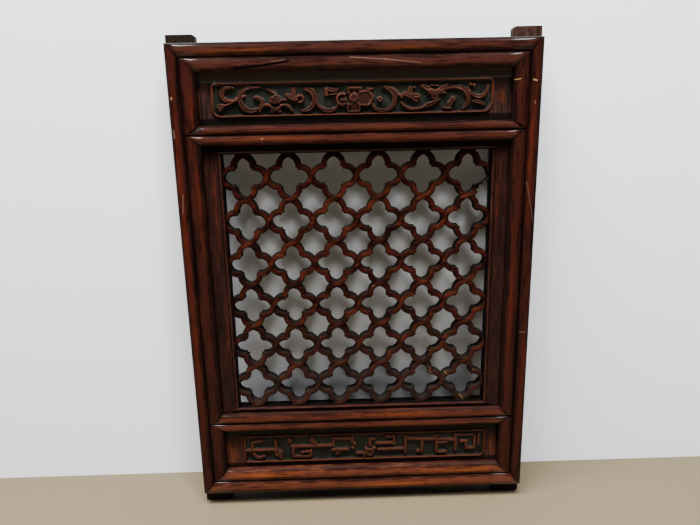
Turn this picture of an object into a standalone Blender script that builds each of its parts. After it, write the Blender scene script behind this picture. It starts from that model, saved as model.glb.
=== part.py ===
"""A carved wooden window panel: a double-reeded frame round a blossom lattice and two relief boards.

Metres, +Z up, the face towards -Y. The origin is on the flat back of the top rail, at its middle,
where the panel bears on the wall that it hangs on.
"""
import math

import bmesh
import bpy
from mathutils import Matrix, Vector

# Clearances between neighbouring pieces.
GAP = 0.0003
MITRE_GAP = 0.0005

# The frame: widths across its face, in order from the outer edge inwards or from the top down.
FRAME_WIDTH = 0.635
STILE_WIDTH = 0.0485
STILE_OUTER_REED = 0.0215
RAIL_TOP = 0.048
RAIL_TOP_REED = 0.0228
FIELD_UPPER = 0.087
RAIL_UPPER = 0.0335
RAIL_UPPER_REED = 0.0152
FIELD_LATTICE = 0.5095
RAIL_LOWER = 0.036
RAIL_LOWER_REED = 0.0192
FIELD_LOWER = 0.085
RAIL_BOTTOM = 0.051
RAIL_BOTTOM_REED = 0.0245

# Depths, from the back of the frame at zero to the reeds' crests in front.
BACK = 0.0
REED_FOOT = -0.033
REED_RISE = 0.007
REED_STEPS = 6
LAP_FACE = -0.020
FREE = 0.020

# The ends of the stiles that stand past the rails.
LUG_LEFT = 0.0146
LUG_RIGHT = 0.0184
LUG_ROUND = 0.0045
LUG_EDGE = 0.002
FOOT = 0.024
FOOT_ROUND = 0.006

# The inner frame round the lattice.
SUB_LEFT = 0.0313
SUB_RIGHT = 0.0307
SUB_TOP = 0.0150
SUB_BOTTOM = 0.0100
SUB_FACE = -0.0275
SUB_BACK = -0.003
SUB_BEAD = 0.0055
SUB_BEAD_FOOT = -0.0262
SUB_BEAD_RISE = 0.0036
SUB_BEAD_STEPS = 4

# The lattice: a six by six blossom pattern of wavy strips, half-lapped where they cross.
PITCH = 0.080
BLOSSOMS = 6
LATTICE_X = -0.0015
STRIP = 0.0092
STRIP_FRONT = -0.0205
STRIP_BACK = -0.0050
CROSSING_TURN = math.radians(16)
STRAIGHT = 0.0081
LOBE_RADIUS = 0.0202
LOBE_STEPS = 2
PER_WAVE = 2 * LOBE_STEPS + 1
SNAP = 0.0006
TAIL = 0.25 * PITCH
BROKEN_STRIP = 6
STUMP = 0.0195
SPLINTER = 0.0065

# The carved boards.
BOARD_FACE = -0.0235
BOARD_BACK = -0.0100
GROUND = -0.0208
RIDGE = -0.0272
RELIEF = -0.0262
ROOT = 0.0006
RING_UPPER = (0.4848, 0.0585)
RING_LOWER = (0.4800, 0.0594)
RING_BAND = 0.0044

INNER_X = FRAME_WIDTH / 2 - STILE_WIDTH
GROOVE_X = FRAME_WIDTH / 2 - STILE_OUTER_REED
OUTER_X = FRAME_WIDTH / 2

Z_TOP = RAIL_TOP / 2
Z_RAIL_TOP = Z_TOP - RAIL_TOP
Z_RAIL_UPPER = Z_RAIL_TOP - FIELD_UPPER
Z_LATTICE = Z_RAIL_UPPER - RAIL_UPPER
Z_RAIL_LOWER = Z_LATTICE - FIELD_LATTICE
Z_FIELD_LOWER = Z_RAIL_LOWER - RAIL_LOWER
Z_RAIL_BOTTOM = Z_FIELD_LOWER - FIELD_LOWER
Z_BOTTOM = Z_RAIL_BOTTOM - RAIL_BOTTOM

# A strip waves between crossings; each lobe's arc ends in a cusp halfway to the next crossing.
SPACING = PITCH / math.sqrt(2)
LOBE_END = math.asin((SPACING / 2 - STRAIGHT * math.cos(CROSSING_TURN)) / LOBE_RADIUS
                     - math.sin(CROSSING_TURN))


def clear_scene():
    """Take away everything that the new file starts with."""
    for item in list(bpy.data.objects):
        bpy.data.objects.remove(item, do_unlink=True)


def lacquer(name, colour, roughness):
    """One Principled material of the given colour."""
    material = bpy.data.materials.new(name)
    material.use_nodes = True
    shader = material.node_tree.nodes["Principled BSDF"]
    shader.inputs["Base Color"].default_value = (*colour, 1.0)
    shader.inputs["Roughness"].default_value = roughness
    shader.inputs["Metallic"].default_value = 0.0
    return material


def solid(name, points, faces, material=None):
    """A closed mesh object with its faces turned outwards."""
    shape = bmesh.new()
    corners = [shape.verts.new(point) for point in points]
    for face in faces:
        shape.faces.new([corners[index] for index in face])
    return finish(name, shape, material)


def finish(name, shape, material=None):
    """Put a bmesh into the scene as an object."""
    bmesh.ops.recalc_face_normals(shape, faces=shape.faces)
    mesh = bpy.data.meshes.new(name)
    shape.to_mesh(mesh)
    shape.free()
    piece = bpy.data.objects.new(name, mesh)
    bpy.context.collection.objects.link(piece)
    if material:
        mesh.materials.append(material)
    return piece


def between(turns, across, side):
    """Where a bar's end cut lies at one place across it, between the places where it turns."""
    for (a, *first), (b, *second) in zip(turns, turns[1:]):
        if across <= b + 1e-9:
            share = (across - a) / (b - a)
            return first[side] + (second[side] - first[side]) * share
    return turns[-1][1 + side]


def bar(name, front, turns, back, place, material):
    """A straight moulded bar.

    front is its face as (across, y) points, back the y of its flat back, and turns lists
    (across, start, end) wherever its end cuts change direction. place sets a point
    (along, across, y) in the panel.
    """
    points = []
    index = {}
    for side in (0, 1):
        for number, (across, y) in enumerate(front):
            index["front", side, number] = len(points)
            points.append(place(between(turns, across, side), across, y))
        for number, turn in enumerate(turns):
            index["back", side, number] = len(points)
            points.append(place(turn[1 + side], turn[0], back))
    faces = []
    for kind, count in (("front", len(front)), ("back", len(turns))):
        for n in range(count - 1):
            corners = ((0, n), (0, n + 1), (1, n + 1), (1, n))
            faces.append([index[kind, side, number] for side, number in corners])
    for f, b in ((0, 0), (len(front) - 1, len(turns) - 1)):
        corners = (("front", 0, f), ("front", 1, f), ("back", 1, b), ("back", 0, b))
        faces.append([index[corner] for corner in corners])
    for side in (0, 1):
        for n, (low, high) in enumerate(zip(turns, turns[1:])):
            face = [index["front", side, number] for number, (across, _) in enumerate(front)
                    if low[0] - 1e-9 <= across <= high[0] + 1e-9]
            faces.append(face + [index["back", side, n + 1], index["back", side, n]])
    return solid(name, points, faces, material)


def prism(name, outline, y_front, y_back, inset=0.0):
    """An outline of (x, z) points given a thickness; inset draws its front edge in."""
    count = len(outline)
    front = shrink(outline, inset) if inset else outline
    points = [(x, y_front, z) for x, z in front] + [(x, y_back, z) for x, z in outline]
    faces = [list(range(count)), list(range(2 * count - 1, count - 1, -1))]
    faces += [[i, (i + 1) % count, count + (i + 1) % count, count + i] for i in range(count)]
    return solid(name, points, faces)


def shrink(outline, inset):
    """The same closed outline drawn in by a constant distance."""
    turned = sum(a[0] * b[1] - b[0] * a[1] for a, b in zip(outline, outline[1:] + outline[:1])) > 0
    drawn = []
    count = len(outline)
    for i, here in enumerate(outline):
        before = (Vector(here) - Vector(outline[i - 1])).normalized()
        after = (Vector(outline[(i + 1) % count]) - Vector(here)).normalized()
        normal = Vector((-before.y - after.y, before.x + after.x)).normalized()
        reach = inset / max(0.5, normal.dot(Vector((-before.y, before.x))))
        drawn.append(tuple(Vector(here) + normal * (reach if turned else -reach)))
    return drawn


def combine(piece, tools, operation):
    """Join tools into one and cut it from, or add it to, a piece."""
    shape = bmesh.new()
    for tool in tools:
        shape.from_mesh(tool.data)
        bpy.data.objects.remove(tool, do_unlink=True)
    tool = finish("tool", shape)
    change = piece.modifiers.new("shape", "BOOLEAN")
    change.operation = operation
    change.solver = "EXACT"
    change.use_self = operation == "UNION"
    change.object = tool
    evaluated = piece.evaluated_get(bpy.context.evaluated_depsgraph_get())
    mesh = bpy.data.meshes.new_from_object(evaluated)
    piece.modifiers.clear()
    piece.data = mesh
    bpy.data.objects.remove(tool, do_unlink=True)
    return piece


def cut_away(piece, outlines, y_front, y_back):
    """Cut straight through a piece from one depth to another inside each outline."""
    tools = [prism("tool", outline, y_front, y_back) for outline in outlines]
    return combine(piece, tools, "DIFFERENCE")


def reeds(width, groove):
    """The face of a frame member: two half-round reeds with a groove between them."""
    points = []
    for start, end in ((0, groove), (groove, width)):
        for step in range(REED_STEPS + 1):
            turn = math.pi * step / REED_STEPS
            across = (start + end) / 2 - (end - start) / 2 * math.cos(turn)
            points.append((across, REED_FOOT - REED_RISE * math.sin(turn)))
    del points[REED_STEPS]
    return points


def corner_round(x, z, toward_x, toward_z, radius):
    """What is cut off a square corner to round it."""
    centre = (x + toward_x * radius, z + toward_z * radius)
    outline = [(x - toward_x * radius, z - toward_z * radius), (x - toward_x * radius, centre[1])]
    for step in range(4):
        turn = math.pi / 2 * step / 3
        outline.append((centre[0] - toward_x * radius * math.cos(turn),
                        centre[1] - toward_z * radius * math.sin(turn)))
    return outline + [(centre[0], z - toward_z * radius)]


def make_stile(name, side, lug, material):
    """An upright of the frame, with its lug above the top rail and its foot below the bottom one."""
    def place(along, across, y):
        return (side * (OUTER_X - across), y, along)

    top, low = Z_TOP + lug, Z_BOTTOM - FOOT
    front = reeds(STILE_WIDTH, STILE_OUTER_REED)
    stile = bar(name, front, [(0, low, top), (STILE_WIDTH, low, top)], BACK, place, material)
    out, inside = side * (OUTER_X + FREE), side * (INNER_X - FREE)
    outer, groove, inner = side * OUTER_X, side * GROOVE_X, side * INNER_X
    head = [(out, Z_TOP), (outer, Z_TOP), (groove, Z_TOP - RAIL_TOP_REED), (inner, Z_RAIL_TOP),
            (inside, Z_RAIL_TOP), (inside, top + FREE), (out, top + FREE)]
    groove_z = Z_RAIL_BOTTOM - RAIL_BOTTOM_REED
    base = [(out, Z_BOTTOM), (outer, Z_BOTTOM), (groove, groove_z), (inner, Z_RAIL_BOTTOM),
            (inside, Z_RAIL_BOTTOM), (inside, low - FREE), (out, low - FREE)]
    notches = []
    for edge, reed, width in ((Z_RAIL_UPPER, RAIL_UPPER_REED, RAIL_UPPER),
                              (Z_RAIL_LOWER, RAIL_LOWER_REED, RAIL_LOWER)):
        notches.append([(groove, edge - reed), (inner, edge), (inside, edge),
                        (inside, edge - width), (inner, edge - width)])
    cut_away(stile, [head, base, *notches], REED_FOOT - FREE, LAP_FACE)
    rounds = [corner_round(inner, top, side, -1, LUG_ROUND),
              corner_round(outer, top, -side, -1, LUG_EDGE),
              corner_round(outer, low, -side, 1, FOOT_ROUND if side > 0 else LUG_EDGE)]
    return cut_away(stile, rounds, REED_FOOT - FREE, BACK + FREE)


def make_rail(name, top, width, reed, reach, material):
    """A rail whose reeds run over the stiles to their mitres, with its body held between them.

    reach gives how far out the mitre starts at the upper edge and at the lower edge.
    """
    def place(along, across, y):
        return (along, y, top - across)

    turns = [(across, MITRE_GAP - end, end - MITRE_GAP)
             for across, end in ((0, reach[0]), (reed, GROOVE_X), (width, reach[1]))]
    rail = bar(name, reeds(width, reed), turns, BACK, place, material)
    sockets = []
    for side in (-1, 1):
        near, far = side * (INNER_X - GAP), side * (OUTER_X + FREE)
        high, low = top + FREE, top - width - FREE
        sockets.append([(near, low), (far, low), (far, high), (near, high)])
    return cut_away(rail, sockets, LAP_FACE - GAP, BACK + FREE)


def make_frame(material):
    """The four rails and two stiles."""
    make_stile("stile_left", -1, LUG_LEFT, material)
    make_stile("stile_right", 1, LUG_RIGHT, material)
    make_rail("rail_top", Z_TOP, RAIL_TOP, RAIL_TOP_REED, (OUTER_X, INNER_X), material)
    make_rail("rail_upper", Z_RAIL_UPPER, RAIL_UPPER, RAIL_UPPER_REED, (INNER_X, INNER_X), material)
    make_rail("rail_lower", Z_RAIL_LOWER, RAIL_LOWER, RAIL_LOWER_REED, (INNER_X, INNER_X), material)
    make_rail("rail_bottom", Z_RAIL_BOTTOM, RAIL_BOTTOM, RAIL_BOTTOM_REED, (INNER_X, OUTER_X), material)


def bead_face(width):
    """The face of an inner frame member: a flat with a small bead along its inner edge."""
    start = width - SUB_BEAD
    points = [(0, SUB_FACE), (start - 0.0012, SUB_FACE)]
    for step in range(SUB_BEAD_STEPS + 1):
        turn = math.pi * step / SUB_BEAD_STEPS
        across = start + SUB_BEAD / 2 * (1 - math.cos(turn))
        points.append((across, SUB_BEAD_FOOT - SUB_BEAD_RISE * math.sin(turn)))
    return points


def make_inner_frame(material):
    """Four flat members round the lattice, mitred from corner to corner."""
    left, right = -INNER_X + GAP, INNER_X - GAP
    high, low = Z_LATTICE - GAP, Z_RAIL_LOWER + GAP
    widths = {"top": SUB_TOP, "bottom": SUB_BOTTOM, "left": SUB_LEFT, "right": SUB_RIGHT}

    def turns(width, ends):
        """End cuts that run to the opening's corner: 45 degrees under the bead, then on to the edge."""
        listed = []
        for across in (0, width - SUB_BEAD, width):
            pair = []
            for edge, inward, neighbour in ends:
                bead = neighbour - (width - across)
                reach = bead if across >= width - SUB_BEAD - 1e-9 else 0
                pair.append(edge + inward * (reach + MITRE_GAP / 2))
            listed.append((across, *pair))
        return listed

    level = [(left, 1, SUB_LEFT), (right, -1, SUB_RIGHT)]
    upright = [(low, 1, SUB_BOTTOM), (high, -1, SUB_TOP)]
    places = {
        "top": (level, lambda along, across, y: (along, y, high - across)),
        "bottom": (level, lambda along, across, y: (along, y, low + across)),
        "left": (upright, lambda along, across, y: (left + across, y, along)),
        "right": (upright, lambda along, across, y: (right - across, y, along)),
    }
    for side, (ends, place) in places.items():
        width = widths[side]
        bar("inner_frame_" + side, bead_face(width), turns(width, ends), SUB_BACK, place, material)


def lobe_line(sign):
    """Half a wave of a strip's middle line, from one crossing to the cusp, as (along, across)."""
    start = Vector((math.cos(CROSSING_TURN), -sign * math.sin(CROSSING_TURN))) * STRAIGHT
    points = [start]
    for step in range(1, LOBE_STEPS + 1):
        turn = CROSSING_TURN - (CROSSING_TURN + LOBE_END) * step / LOBE_STEPS
        along = LOBE_RADIUS * (math.sin(CROSSING_TURN) - math.sin(turn))
        across = -sign * LOBE_RADIUS * (math.cos(turn) - math.cos(CROSSING_TURN))
        points.append(start + Vector((along, across)))
    return points


def strip_middle(count, sign):
    """The middle line of a strip over count waves, with a straight tail at each end."""
    tail = Vector((math.cos(CROSSING_TURN), -sign * math.sin(CROSSING_TURN))) * TAIL
    line = [-tail]
    for wave in range(count):
        half = lobe_line(sign * (-1) ** wave)
        line += [point + Vector((wave * SPACING, 0)) for point in half]
        line += [Vector(((wave + 1) * SPACING - point.x, point.y)) for point in reversed(half[:-1])]
    return line + [Vector((count * SPACING + tail.x, tail.y * (-1) ** count))]


def offset_line(line, distance):
    """A line beside another one, with its corners mitred."""
    moved = []
    for i, here in enumerate(line):
        before = (here - line[i - 1]).normalized() if i else (line[1] - here).normalized()
        after = (line[i + 1] - here).normalized() if i + 1 < len(line) else before
        first, second = Vector((-before.y, before.x)), Vector((-after.y, after.x))
        normal = (first + second).normalized()
        moved.append(here + normal * distance / normal.dot(first))
    return moved


def housing(crossing, turn, edges):
    """The four corners of the housing where another strip crosses, by (side, end).

    A corner that falls where the strip starts to bend is put exactly there.
    """
    own = Vector((-math.sin(turn), math.cos(turn)))
    other = Vector((math.cos(turn), -math.sin(turn)))
    solve = Matrix(((own.x, own.y), (other.x, other.y))).inverted()
    corners = {}
    for side in (-1, 1):
        for end in (-1, 1):
            corner = solve @ Vector((side * STRIP / 2, end * (STRIP / 2 + GAP)))
            corner.x += crossing * SPACING
            bend = edges[side][crossing * PER_WAVE + (end + 1) // 2]
            corners[side, end] = bend if (bend - corner).length < SNAP else corner
    return corners


def step(bend, corner):
    """The way down from a strip's edge into a housing, straight where the bend is its corner."""
    if bend is corner:
        return [(corner, "middle")]
    return [(bend, "housed"), (corner, "housed"), (corner, "middle")]


def strip_faces(edges, laps):
    """Each face of a strip, as (point, level) corners; the housings run from housed to middle."""
    for crossing, lap in enumerate(laps):
        first = crossing * PER_WAVE
        ends = [(edges[side][first], edges[side][first + 1]) for side in (1, -1)]
        yield [(point, "whole") for point in (*ends[0], *reversed(ends[1]))]
        for side, (a, b) in zip((1, -1), ends):
            before, after = lap[side, -1], lap[side, 1]
            yield [(a, "whole"), (b, "whole"), *step(b, after), *reversed(step(a, before))]
        for end in (-1, 1):
            yield [(lap[1, end], "housed"), (lap[-1, end], "housed"),
                   (lap[-1, end], "middle"), (lap[1, end], "middle")]
        yield [(lap[key], "middle") for key in ((1, -1), (1, 1), (-1, 1), (-1, -1))]
    for wave, (lap, following) in enumerate(zip(laps, laps[1:])):
        first = wave * PER_WAVE + 1
        left, right = [edges[side][first:first + PER_WAVE] for side in (1, -1)]
        yield [(point, "whole") for point in left + right[::-1]]
        yield [(point, "housed") for point in (lap[1, 1], *left, following[1, -1],
                                               following[-1, -1], *right[::-1], lap[-1, 1])]
        for side, line in ((1, left), (-1, right)):
            risers = {n: [(point, "whole"), (point, "housed")] for n, point in enumerate(line)}
            for n, corner in ((0, lap[side, 1]), (PER_WAVE - 1, following[side, -1])):
                if line[n] is corner:
                    risers[n].insert(1, (corner, "middle"))
            for n in range(PER_WAVE - 1):
                yield [*risers[n], *reversed(risers[n + 1])]
    for place, lap, end in ((0, laps[0], -1), (-1, laps[-1], 1)):
        left, right = edges[1][place], edges[-1][place]
        yield [(left, "whole"), (right, "whole"), (right, "housed"), (left, "housed")]
        yield [(point, "housed") for point in (left, lap[1, end], lap[-1, end], right)]


def make_strip(name, number, mirrored, bounds, material):
    """One wavy strip of the lattice, housed half its depth at each crossing.

    Rising strips are housed at the back. Falling strips are their mirror image, housed in front.
    """
    offset = (number - (BLOSSOMS * 2 - 1) / 2) * PITCH
    waves = round(BLOSSOMS * 2 - 2 * abs(offset) / PITCH)
    sign = -1 if offset < 0 else 1
    half = BLOSSOMS * PITCH / 2
    start = Vector((-half, -half - offset) if offset < 0 else (-half + offset, -half))
    middle = (STRIP_FRONT + STRIP_BACK) / 2 + (GAP / 2 if mirrored else -GAP / 2)
    whole, housed = (STRIP_BACK, STRIP_FRONT) if mirrored else (STRIP_FRONT, STRIP_BACK)
    levels = {"whole": whole, "housed": housed, "middle": middle}
    shape = bmesh.new()
    known = {}

    def vertex(point, level):
        key = (round(point.x, 7), round(point.y, 7), level)
        if key not in known:
            x = start.x + (point.x - point.y) / math.sqrt(2)
            z = start.y + (point.x + point.y) / math.sqrt(2)
            known[key] = shape.verts.new((-x if mirrored else x, levels[level], z))
        return known[key]

    line = strip_middle(waves, sign)
    edges = {side: offset_line(line, side * STRIP / 2) for side in (-1, 1)}
    laps = [housing(crossing, -sign * (-1) ** crossing * CROSSING_TURN, edges)
            for crossing in range(waves + 1)]
    for corners in strip_faces(edges, laps):
        shape.faces.new(dict.fromkeys(vertex(*corner) for corner in corners))
    bmesh.ops.recalc_face_normals(shape, faces=shape.faces)
    trim(shape, bounds)
    return finish(name, shape, material)


def trim(shape, bounds):
    """Cut a strip off flush with the inner frame's edges."""
    left, right, low, high = bounds
    for place, outward in (((left, 0, 0), (-1, 0, 0)), ((right, 0, 0), (1, 0, 0)),
                           ((0, 0, low), (0, 0, -1)), ((0, 0, high), (0, 0, 1))):
        geometry = shape.verts[:] + shape.edges[:] + shape.faces[:]
        cut = bmesh.ops.bisect_plane(shape, geom=geometry, dist=1e-7, plane_co=place,
                                     plane_no=outward, clear_outer=True)["geom_cut"]
        edges = [item for item in cut if isinstance(item, bmesh.types.BMEdge)]
        if edges:
            bmesh.ops.edgenet_fill(shape, edges=edges)


def make_lattice(material):
    """All the strips, rising to the right and falling to the right."""
    middle = lattice_middle()
    bounds = (-INNER_X + SUB_LEFT + 2 * GAP - LATTICE_X, INNER_X - SUB_RIGHT - 2 * GAP - LATTICE_X,
              Z_RAIL_LOWER + SUB_BOTTOM + 2 * GAP - middle, Z_LATTICE - SUB_TOP - 2 * GAP - middle)
    for mirrored, kind in ((False, "rising"), (True, "falling")):
        for number in range(BLOSSOMS * 2):
            name = f"lattice_{kind}_{number + 1:02d}"
            strip = make_strip(name, number, mirrored, bounds, material)
            if not mirrored and number == BROKEN_STRIP:
                break_strip(strip)
            strip.data.transform(Matrix.Translation((LATTICE_X, 0, middle)))


def lattice_middle():
    """The height of the lattice's centre."""
    return (Z_LATTICE - SUB_TOP + Z_RAIL_LOWER + SUB_BOTTOM) / 2


def break_strip(strip):
    """Split the front half off the upper right end of a strip, past a short stump."""
    half = BLOSSOMS * PITCH / 2
    crossing = Vector((half - PITCH / 2, half - PITCH))
    along, across = Vector((1, 1)).normalized(), Vector((-1, 1)).normalized()
    near, far = crossing + along * STUMP, crossing + along * (STUMP + PITCH)
    outline = [near - across * STRIP, far - across * STRIP * 2,
               far + across * STRIP * 2, near + across * STRIP - along * 0.002]
    cut_away(strip, [[tuple(point) for point in outline]], STRIP_FRONT - FREE, STRIP_BACK - SPLINTER)


def ribbon(line, widths):
    """The outline of a stroke that follows a line and swells or tapers along it."""
    middle = [Vector(point) / 1000 for point in line]
    left, right = [], []
    for i, here in enumerate(middle):
        share = i / (len(middle) - 1)
        place = share * (len(widths) - 1)
        low = min(int(place), len(widths) - 2)
        width = (widths[low] + (widths[low + 1] - widths[low]) * (place - low)) / 1000
        ahead = middle[min(i + 1, len(middle) - 1)] - middle[max(i - 1, 0)]
        normal = Vector((-ahead.y, ahead.x)).normalized() * width / 2
        left.append(tuple(here + normal))
        right.append(tuple(here - normal))
    return left + right[::-1]


def arc(x, z, radius, start, end, steps, squash=1.0):
    """Points round part of a circle, in millimetres and degrees."""
    points = []
    for step in range(steps + 1):
        turn = math.radians(start + (end - start) * step / steps)
        points.append((x + radius * math.cos(turn), z + radius * squash * math.sin(turn)))
    return points


def disc(x, z, radius, sides, squash=1.0):
    """A round outline, in metres from millimetres."""
    return [(a / 1000, b / 1000) for a, b in arc(x, z, radius, 0, 360 - 360 / sides, sides - 1, squash)]


def ring_outline(size, inset, radii):
    """The rounded border of a carved field, drawn in by inset; radii go round from the upper right."""
    wide, high = size[0] / 2 - inset, size[1] / 2 - inset
    outline = []
    for turn, (x, z), radius in zip((0, 90, 180, 270), ((1, 1), (-1, 1), (-1, -1), (1, -1)), radii):
        reach = max(radius - inset, 0.001)
        corner = arc(0, 0, reach, turn, turn + 90, 3)
        outline += [(x * (wide - reach) + a, z * (high - reach) + b) for a, b in corner]
    return outline


def make_board(name, low, high, ring, ring_centre, radii, motifs, material):
    """A board with a sunk field inside a raised border, and motifs standing on the sunk ground."""
    x, z = ring_centre
    centre_z = (low + high) / 2
    edge = INNER_X - GAP
    board = prism(name, [(-edge, low - centre_z + GAP), (edge, low - centre_z + GAP),
                         (edge, high - centre_z - GAP), (-edge, high - centre_z - GAP)],
                  BOARD_FACE, BOARD_BACK)

    def moved(outline):
        return [(a + x, b + z) for a, b in outline]

    border = prism("border", moved(ring_outline(ring, 0, radii)), RIDGE, BOARD_FACE + ROOT, RING_BAND / 4)
    combine(board, [border], "UNION")
    cut_away(board, [moved(ring_outline(ring, RING_BAND, radii))], RIDGE - FREE, GROUND)
    raised = [prism("motif", moved(outline), RELIEF, GROUND + ROOT, inset) for outline, inset in motifs]
    combine(board, raised, "UNION")
    board.data.materials.clear()
    board.data.materials.append(material)
    board.data.transform(Matrix.Translation((0, 0, centre_z)))
    return board


def scroll(x, z, radius, start, end, steps, widths, squash=1.0):
    """A curved tendril that follows part of a circle."""
    return ribbon(arc(x, z, radius, start, end, steps, squash), widths)


def trefoil(x, z):
    """A leaf with one lobe up and one to each side."""
    lobes = ((-12, -4), (-9, 4), (-5, 6), (-4, 15), (4, 15), (5, 6), (12, 3), (13, -5), (8, -9), (3, -4))
    return [((x + a) / 1000, (z + b) / 1000) for a, b in lobes]


def flower(x, z):
    """The middle flower: a round heart in four petals, seen from the front."""
    top = [(-9, 8), (14, 8), (14, 17), (-9, 17)]
    fan = [(7, -12), (26, -12), (33, -5), (33, 4), (26, 10), (7, 10)]
    foot = [(-8, -23), (11, -23), (11, -7), (-8, -7)]
    petals = [[((x + a) / 1000, (z + b) / 1000) for a, b in petal] for petal in (top, fan, foot)]
    return [disc(x, z, 8.5, 9), disc(x - 19, z - 2, 11, 9), *petals]


def vine_motifs():
    """A scrolling vine with a round flower in the middle, seen along the upper board."""
    tendrils = [
        scroll(-214, 10, 11.5, 65, 285, 5, (6, 7, 5)), ribbon([(-213, -1), (-205, -2), (-199, 1)], (5, 3)),
        ribbon([(-206, -3), (-217, -8), (-231, -10)], (3, 4, 4)),
        scroll(-174, 1, 20, 85, 300, 6, (5, 7, 7, 4)),
        scroll(-162, -5, 8, 120, -70, 4, (5, 6, 4)), scroll(-145, -24, 15, 95, 160, 2, (4, 6, 4)),
        scroll(-121, -26, 14, 20, 95, 2, (4, 6, 4)), scroll(-85, -2, 18, 75, -85, 5, (8, 7, 7, 3)),
        scroll(-42, 1, 21, 200, 315, 4, (3, 6, 6, 3)), ribbon([(-46, 5), (-46, 14), (-27, 14)], (5, 6, 6)),
        scroll(53, -3, 19, 80, -65, 5, (4, 7, 7, 4)), scroll(50, -5, 17, 205, 265, 2, (3, 5, 4)),
        scroll(103, 0, 21, 205, 325, 4, (3, 5, 5, 3)), scroll(184, -5, 17, 115, -90, 6, (5, 6, 7, 4)),
        scroll(217, 14, 16, 205, 355, 4, (4, 6, 6, 3)),
    ]
    leaves = [
        disc(-227, -14, 6.5, 6, 0.75), disc(-133, -1, 9.5, 8, 0.8), disc(-133, -19, 7.5, 6, 0.6),
        trefoil(-101, 3), disc(46, -3, 5, 6), trefoil(99, 2),
        ribbon([(67, 14), (75, 9), (83, 1)], (4, 8, 4)), disc(141, 0, 7, 6),
        ribbon([(117, 18), (133, 11), (141, 8), (149, 11), (162, 18)], (4, 8, 12, 8, 4)),
        ribbon([(121, -18), (133, -11), (148, -7)], (4, 9, 4)),
        ribbon([(157, -20), (168, -18), (172, -6)], (4, 9, 6)),
        ribbon([(209, -8), (218, -11), (227, -16)], (4, 6, 3)),
    ]
    return [(outline, 0.0006) for outline in flower(1, 0) + tendrils + leaves]


def fret(points, width=4.6):
    """A stroke that runs square round its corners."""
    line = [Vector(point) / 1000 for point in points]
    left = offset_line(line, width / 2000)
    right = offset_line(line, -width / 2000)
    return [tuple(point) for point in left + right[::-1]]


def fret_motifs():
    """Broken key frets with hooked ends, seen along the lower board."""
    strokes = [
        fret([(-236, -2), (-174, -2)]), fret([(-220, -2), (-220, 16), (-201, 18)], 4),
        fret([(-215, -8), (-215, -19), (-199, -19)], 4),
        fret([(-174, 20), (-174, -15), (-162, -15), (-162, -8)]),
        fret([(-143, 15), (-134, 15)], 5), fret([(-62, 4), (-138, 4), (-138, -19), (-102, -19), (-102, -6)]),
        fret([(-99, 19), (-99, 10)]), fret([(-57, 1), (-57, 18), (-21, 18), (-21, 11)]),
        fret([(-58, -6), (-29, -6)]), fret([(-9, -15), (4, -15), (4, -22)]),
        fret([(16, 0), (16, 14), (25, 14)]), fret([(29, 6), (64, 6), (64, 20), (46, 20)]),
        fret([(33, -8), (84, -8)]), fret([(87, 20), (87, -17)]), fret([(92, 13), (183, 9)]),
        fret([(120, 8), (120, -16), (108, -16)]), fret([(168, 3), (149, 3), (149, -17), (166, -19)], 4),
        fret([(200, 18), (187, 18), (187, -16)]),
        fret([(198, 5), (207, 5), (207, -11), (226, -11), (226, 18), (206, 18)], 4),
    ]
    knobs = [disc(-115, -9, 4.5, 6), disc(-17, 0, 4, 6), disc(8, -7, 4, 6)]
    return [(outline, 0.0005) for outline in strokes + knobs]


def make_boards(material):
    """The vine board under the top rail and the fret board above the bottom rail."""
    make_board("carved_board_upper", Z_RAIL_UPPER, Z_RAIL_TOP, RING_UPPER, (-0.0050, -0.0015),
               (0.008, 0.010, 0.014, 0.020), vine_motifs(), material)
    make_board("carved_board_lower", Z_RAIL_BOTTOM, Z_FIELD_LOWER, RING_LOWER, (0.0058, -0.0035),
               (0.005, 0.005, 0.004, 0.013), fret_motifs(), material)


def main():
    clear_scene()
    make_frame(lacquer("frame_lacquer", (0.115, 0.032, 0.012), 0.32))
    make_inner_frame(lacquer("inner_frame_lacquer", (0.075, 0.022, 0.011), 0.38))
    make_lattice(lacquer("lattice_lacquer", (0.090, 0.024, 0.010), 0.40))
    make_boards(lacquer("carved_lacquer", (0.060, 0.028, 0.016), 0.45))


main()
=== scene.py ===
"""A carved wooden window panel, dressed for its looks: lacquered frame, blossom lattice and carved boards.

Metres, +Z up, the face towards -Y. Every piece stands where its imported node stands.
"""
import math

import bmesh
import bpy
import numpy as np
from mathutils import Matrix, Vector, noise


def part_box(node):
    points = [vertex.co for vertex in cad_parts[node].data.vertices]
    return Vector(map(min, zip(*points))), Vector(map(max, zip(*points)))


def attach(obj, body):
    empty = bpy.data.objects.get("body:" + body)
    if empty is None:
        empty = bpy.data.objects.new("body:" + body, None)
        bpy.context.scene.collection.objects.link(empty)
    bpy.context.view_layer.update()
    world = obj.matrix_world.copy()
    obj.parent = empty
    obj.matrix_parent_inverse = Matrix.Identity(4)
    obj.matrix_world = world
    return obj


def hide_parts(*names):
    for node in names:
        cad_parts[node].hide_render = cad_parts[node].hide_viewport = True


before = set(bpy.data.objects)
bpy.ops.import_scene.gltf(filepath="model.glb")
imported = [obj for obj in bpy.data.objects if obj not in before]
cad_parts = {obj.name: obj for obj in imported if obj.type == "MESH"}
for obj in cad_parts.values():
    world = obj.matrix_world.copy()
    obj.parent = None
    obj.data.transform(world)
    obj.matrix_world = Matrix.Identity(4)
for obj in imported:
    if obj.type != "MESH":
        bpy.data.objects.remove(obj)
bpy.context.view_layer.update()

# The stiles: two long uprights planed with a pair of half-round reeds, in red-brown lacquer over
# softwood. Their reeds are cut back in mitres and points where the rails' reeds run over them.
OUTER_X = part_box("stile_right")[1].x
INNER_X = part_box("stile_right")[0].x
GROOVE_X = OUTER_X - 0.0215
REED_FOOT = -0.033
REED_RISE = 0.007
LAP_FACE = -0.02
FREE = 0.02
SEAM = 0.0005
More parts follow.
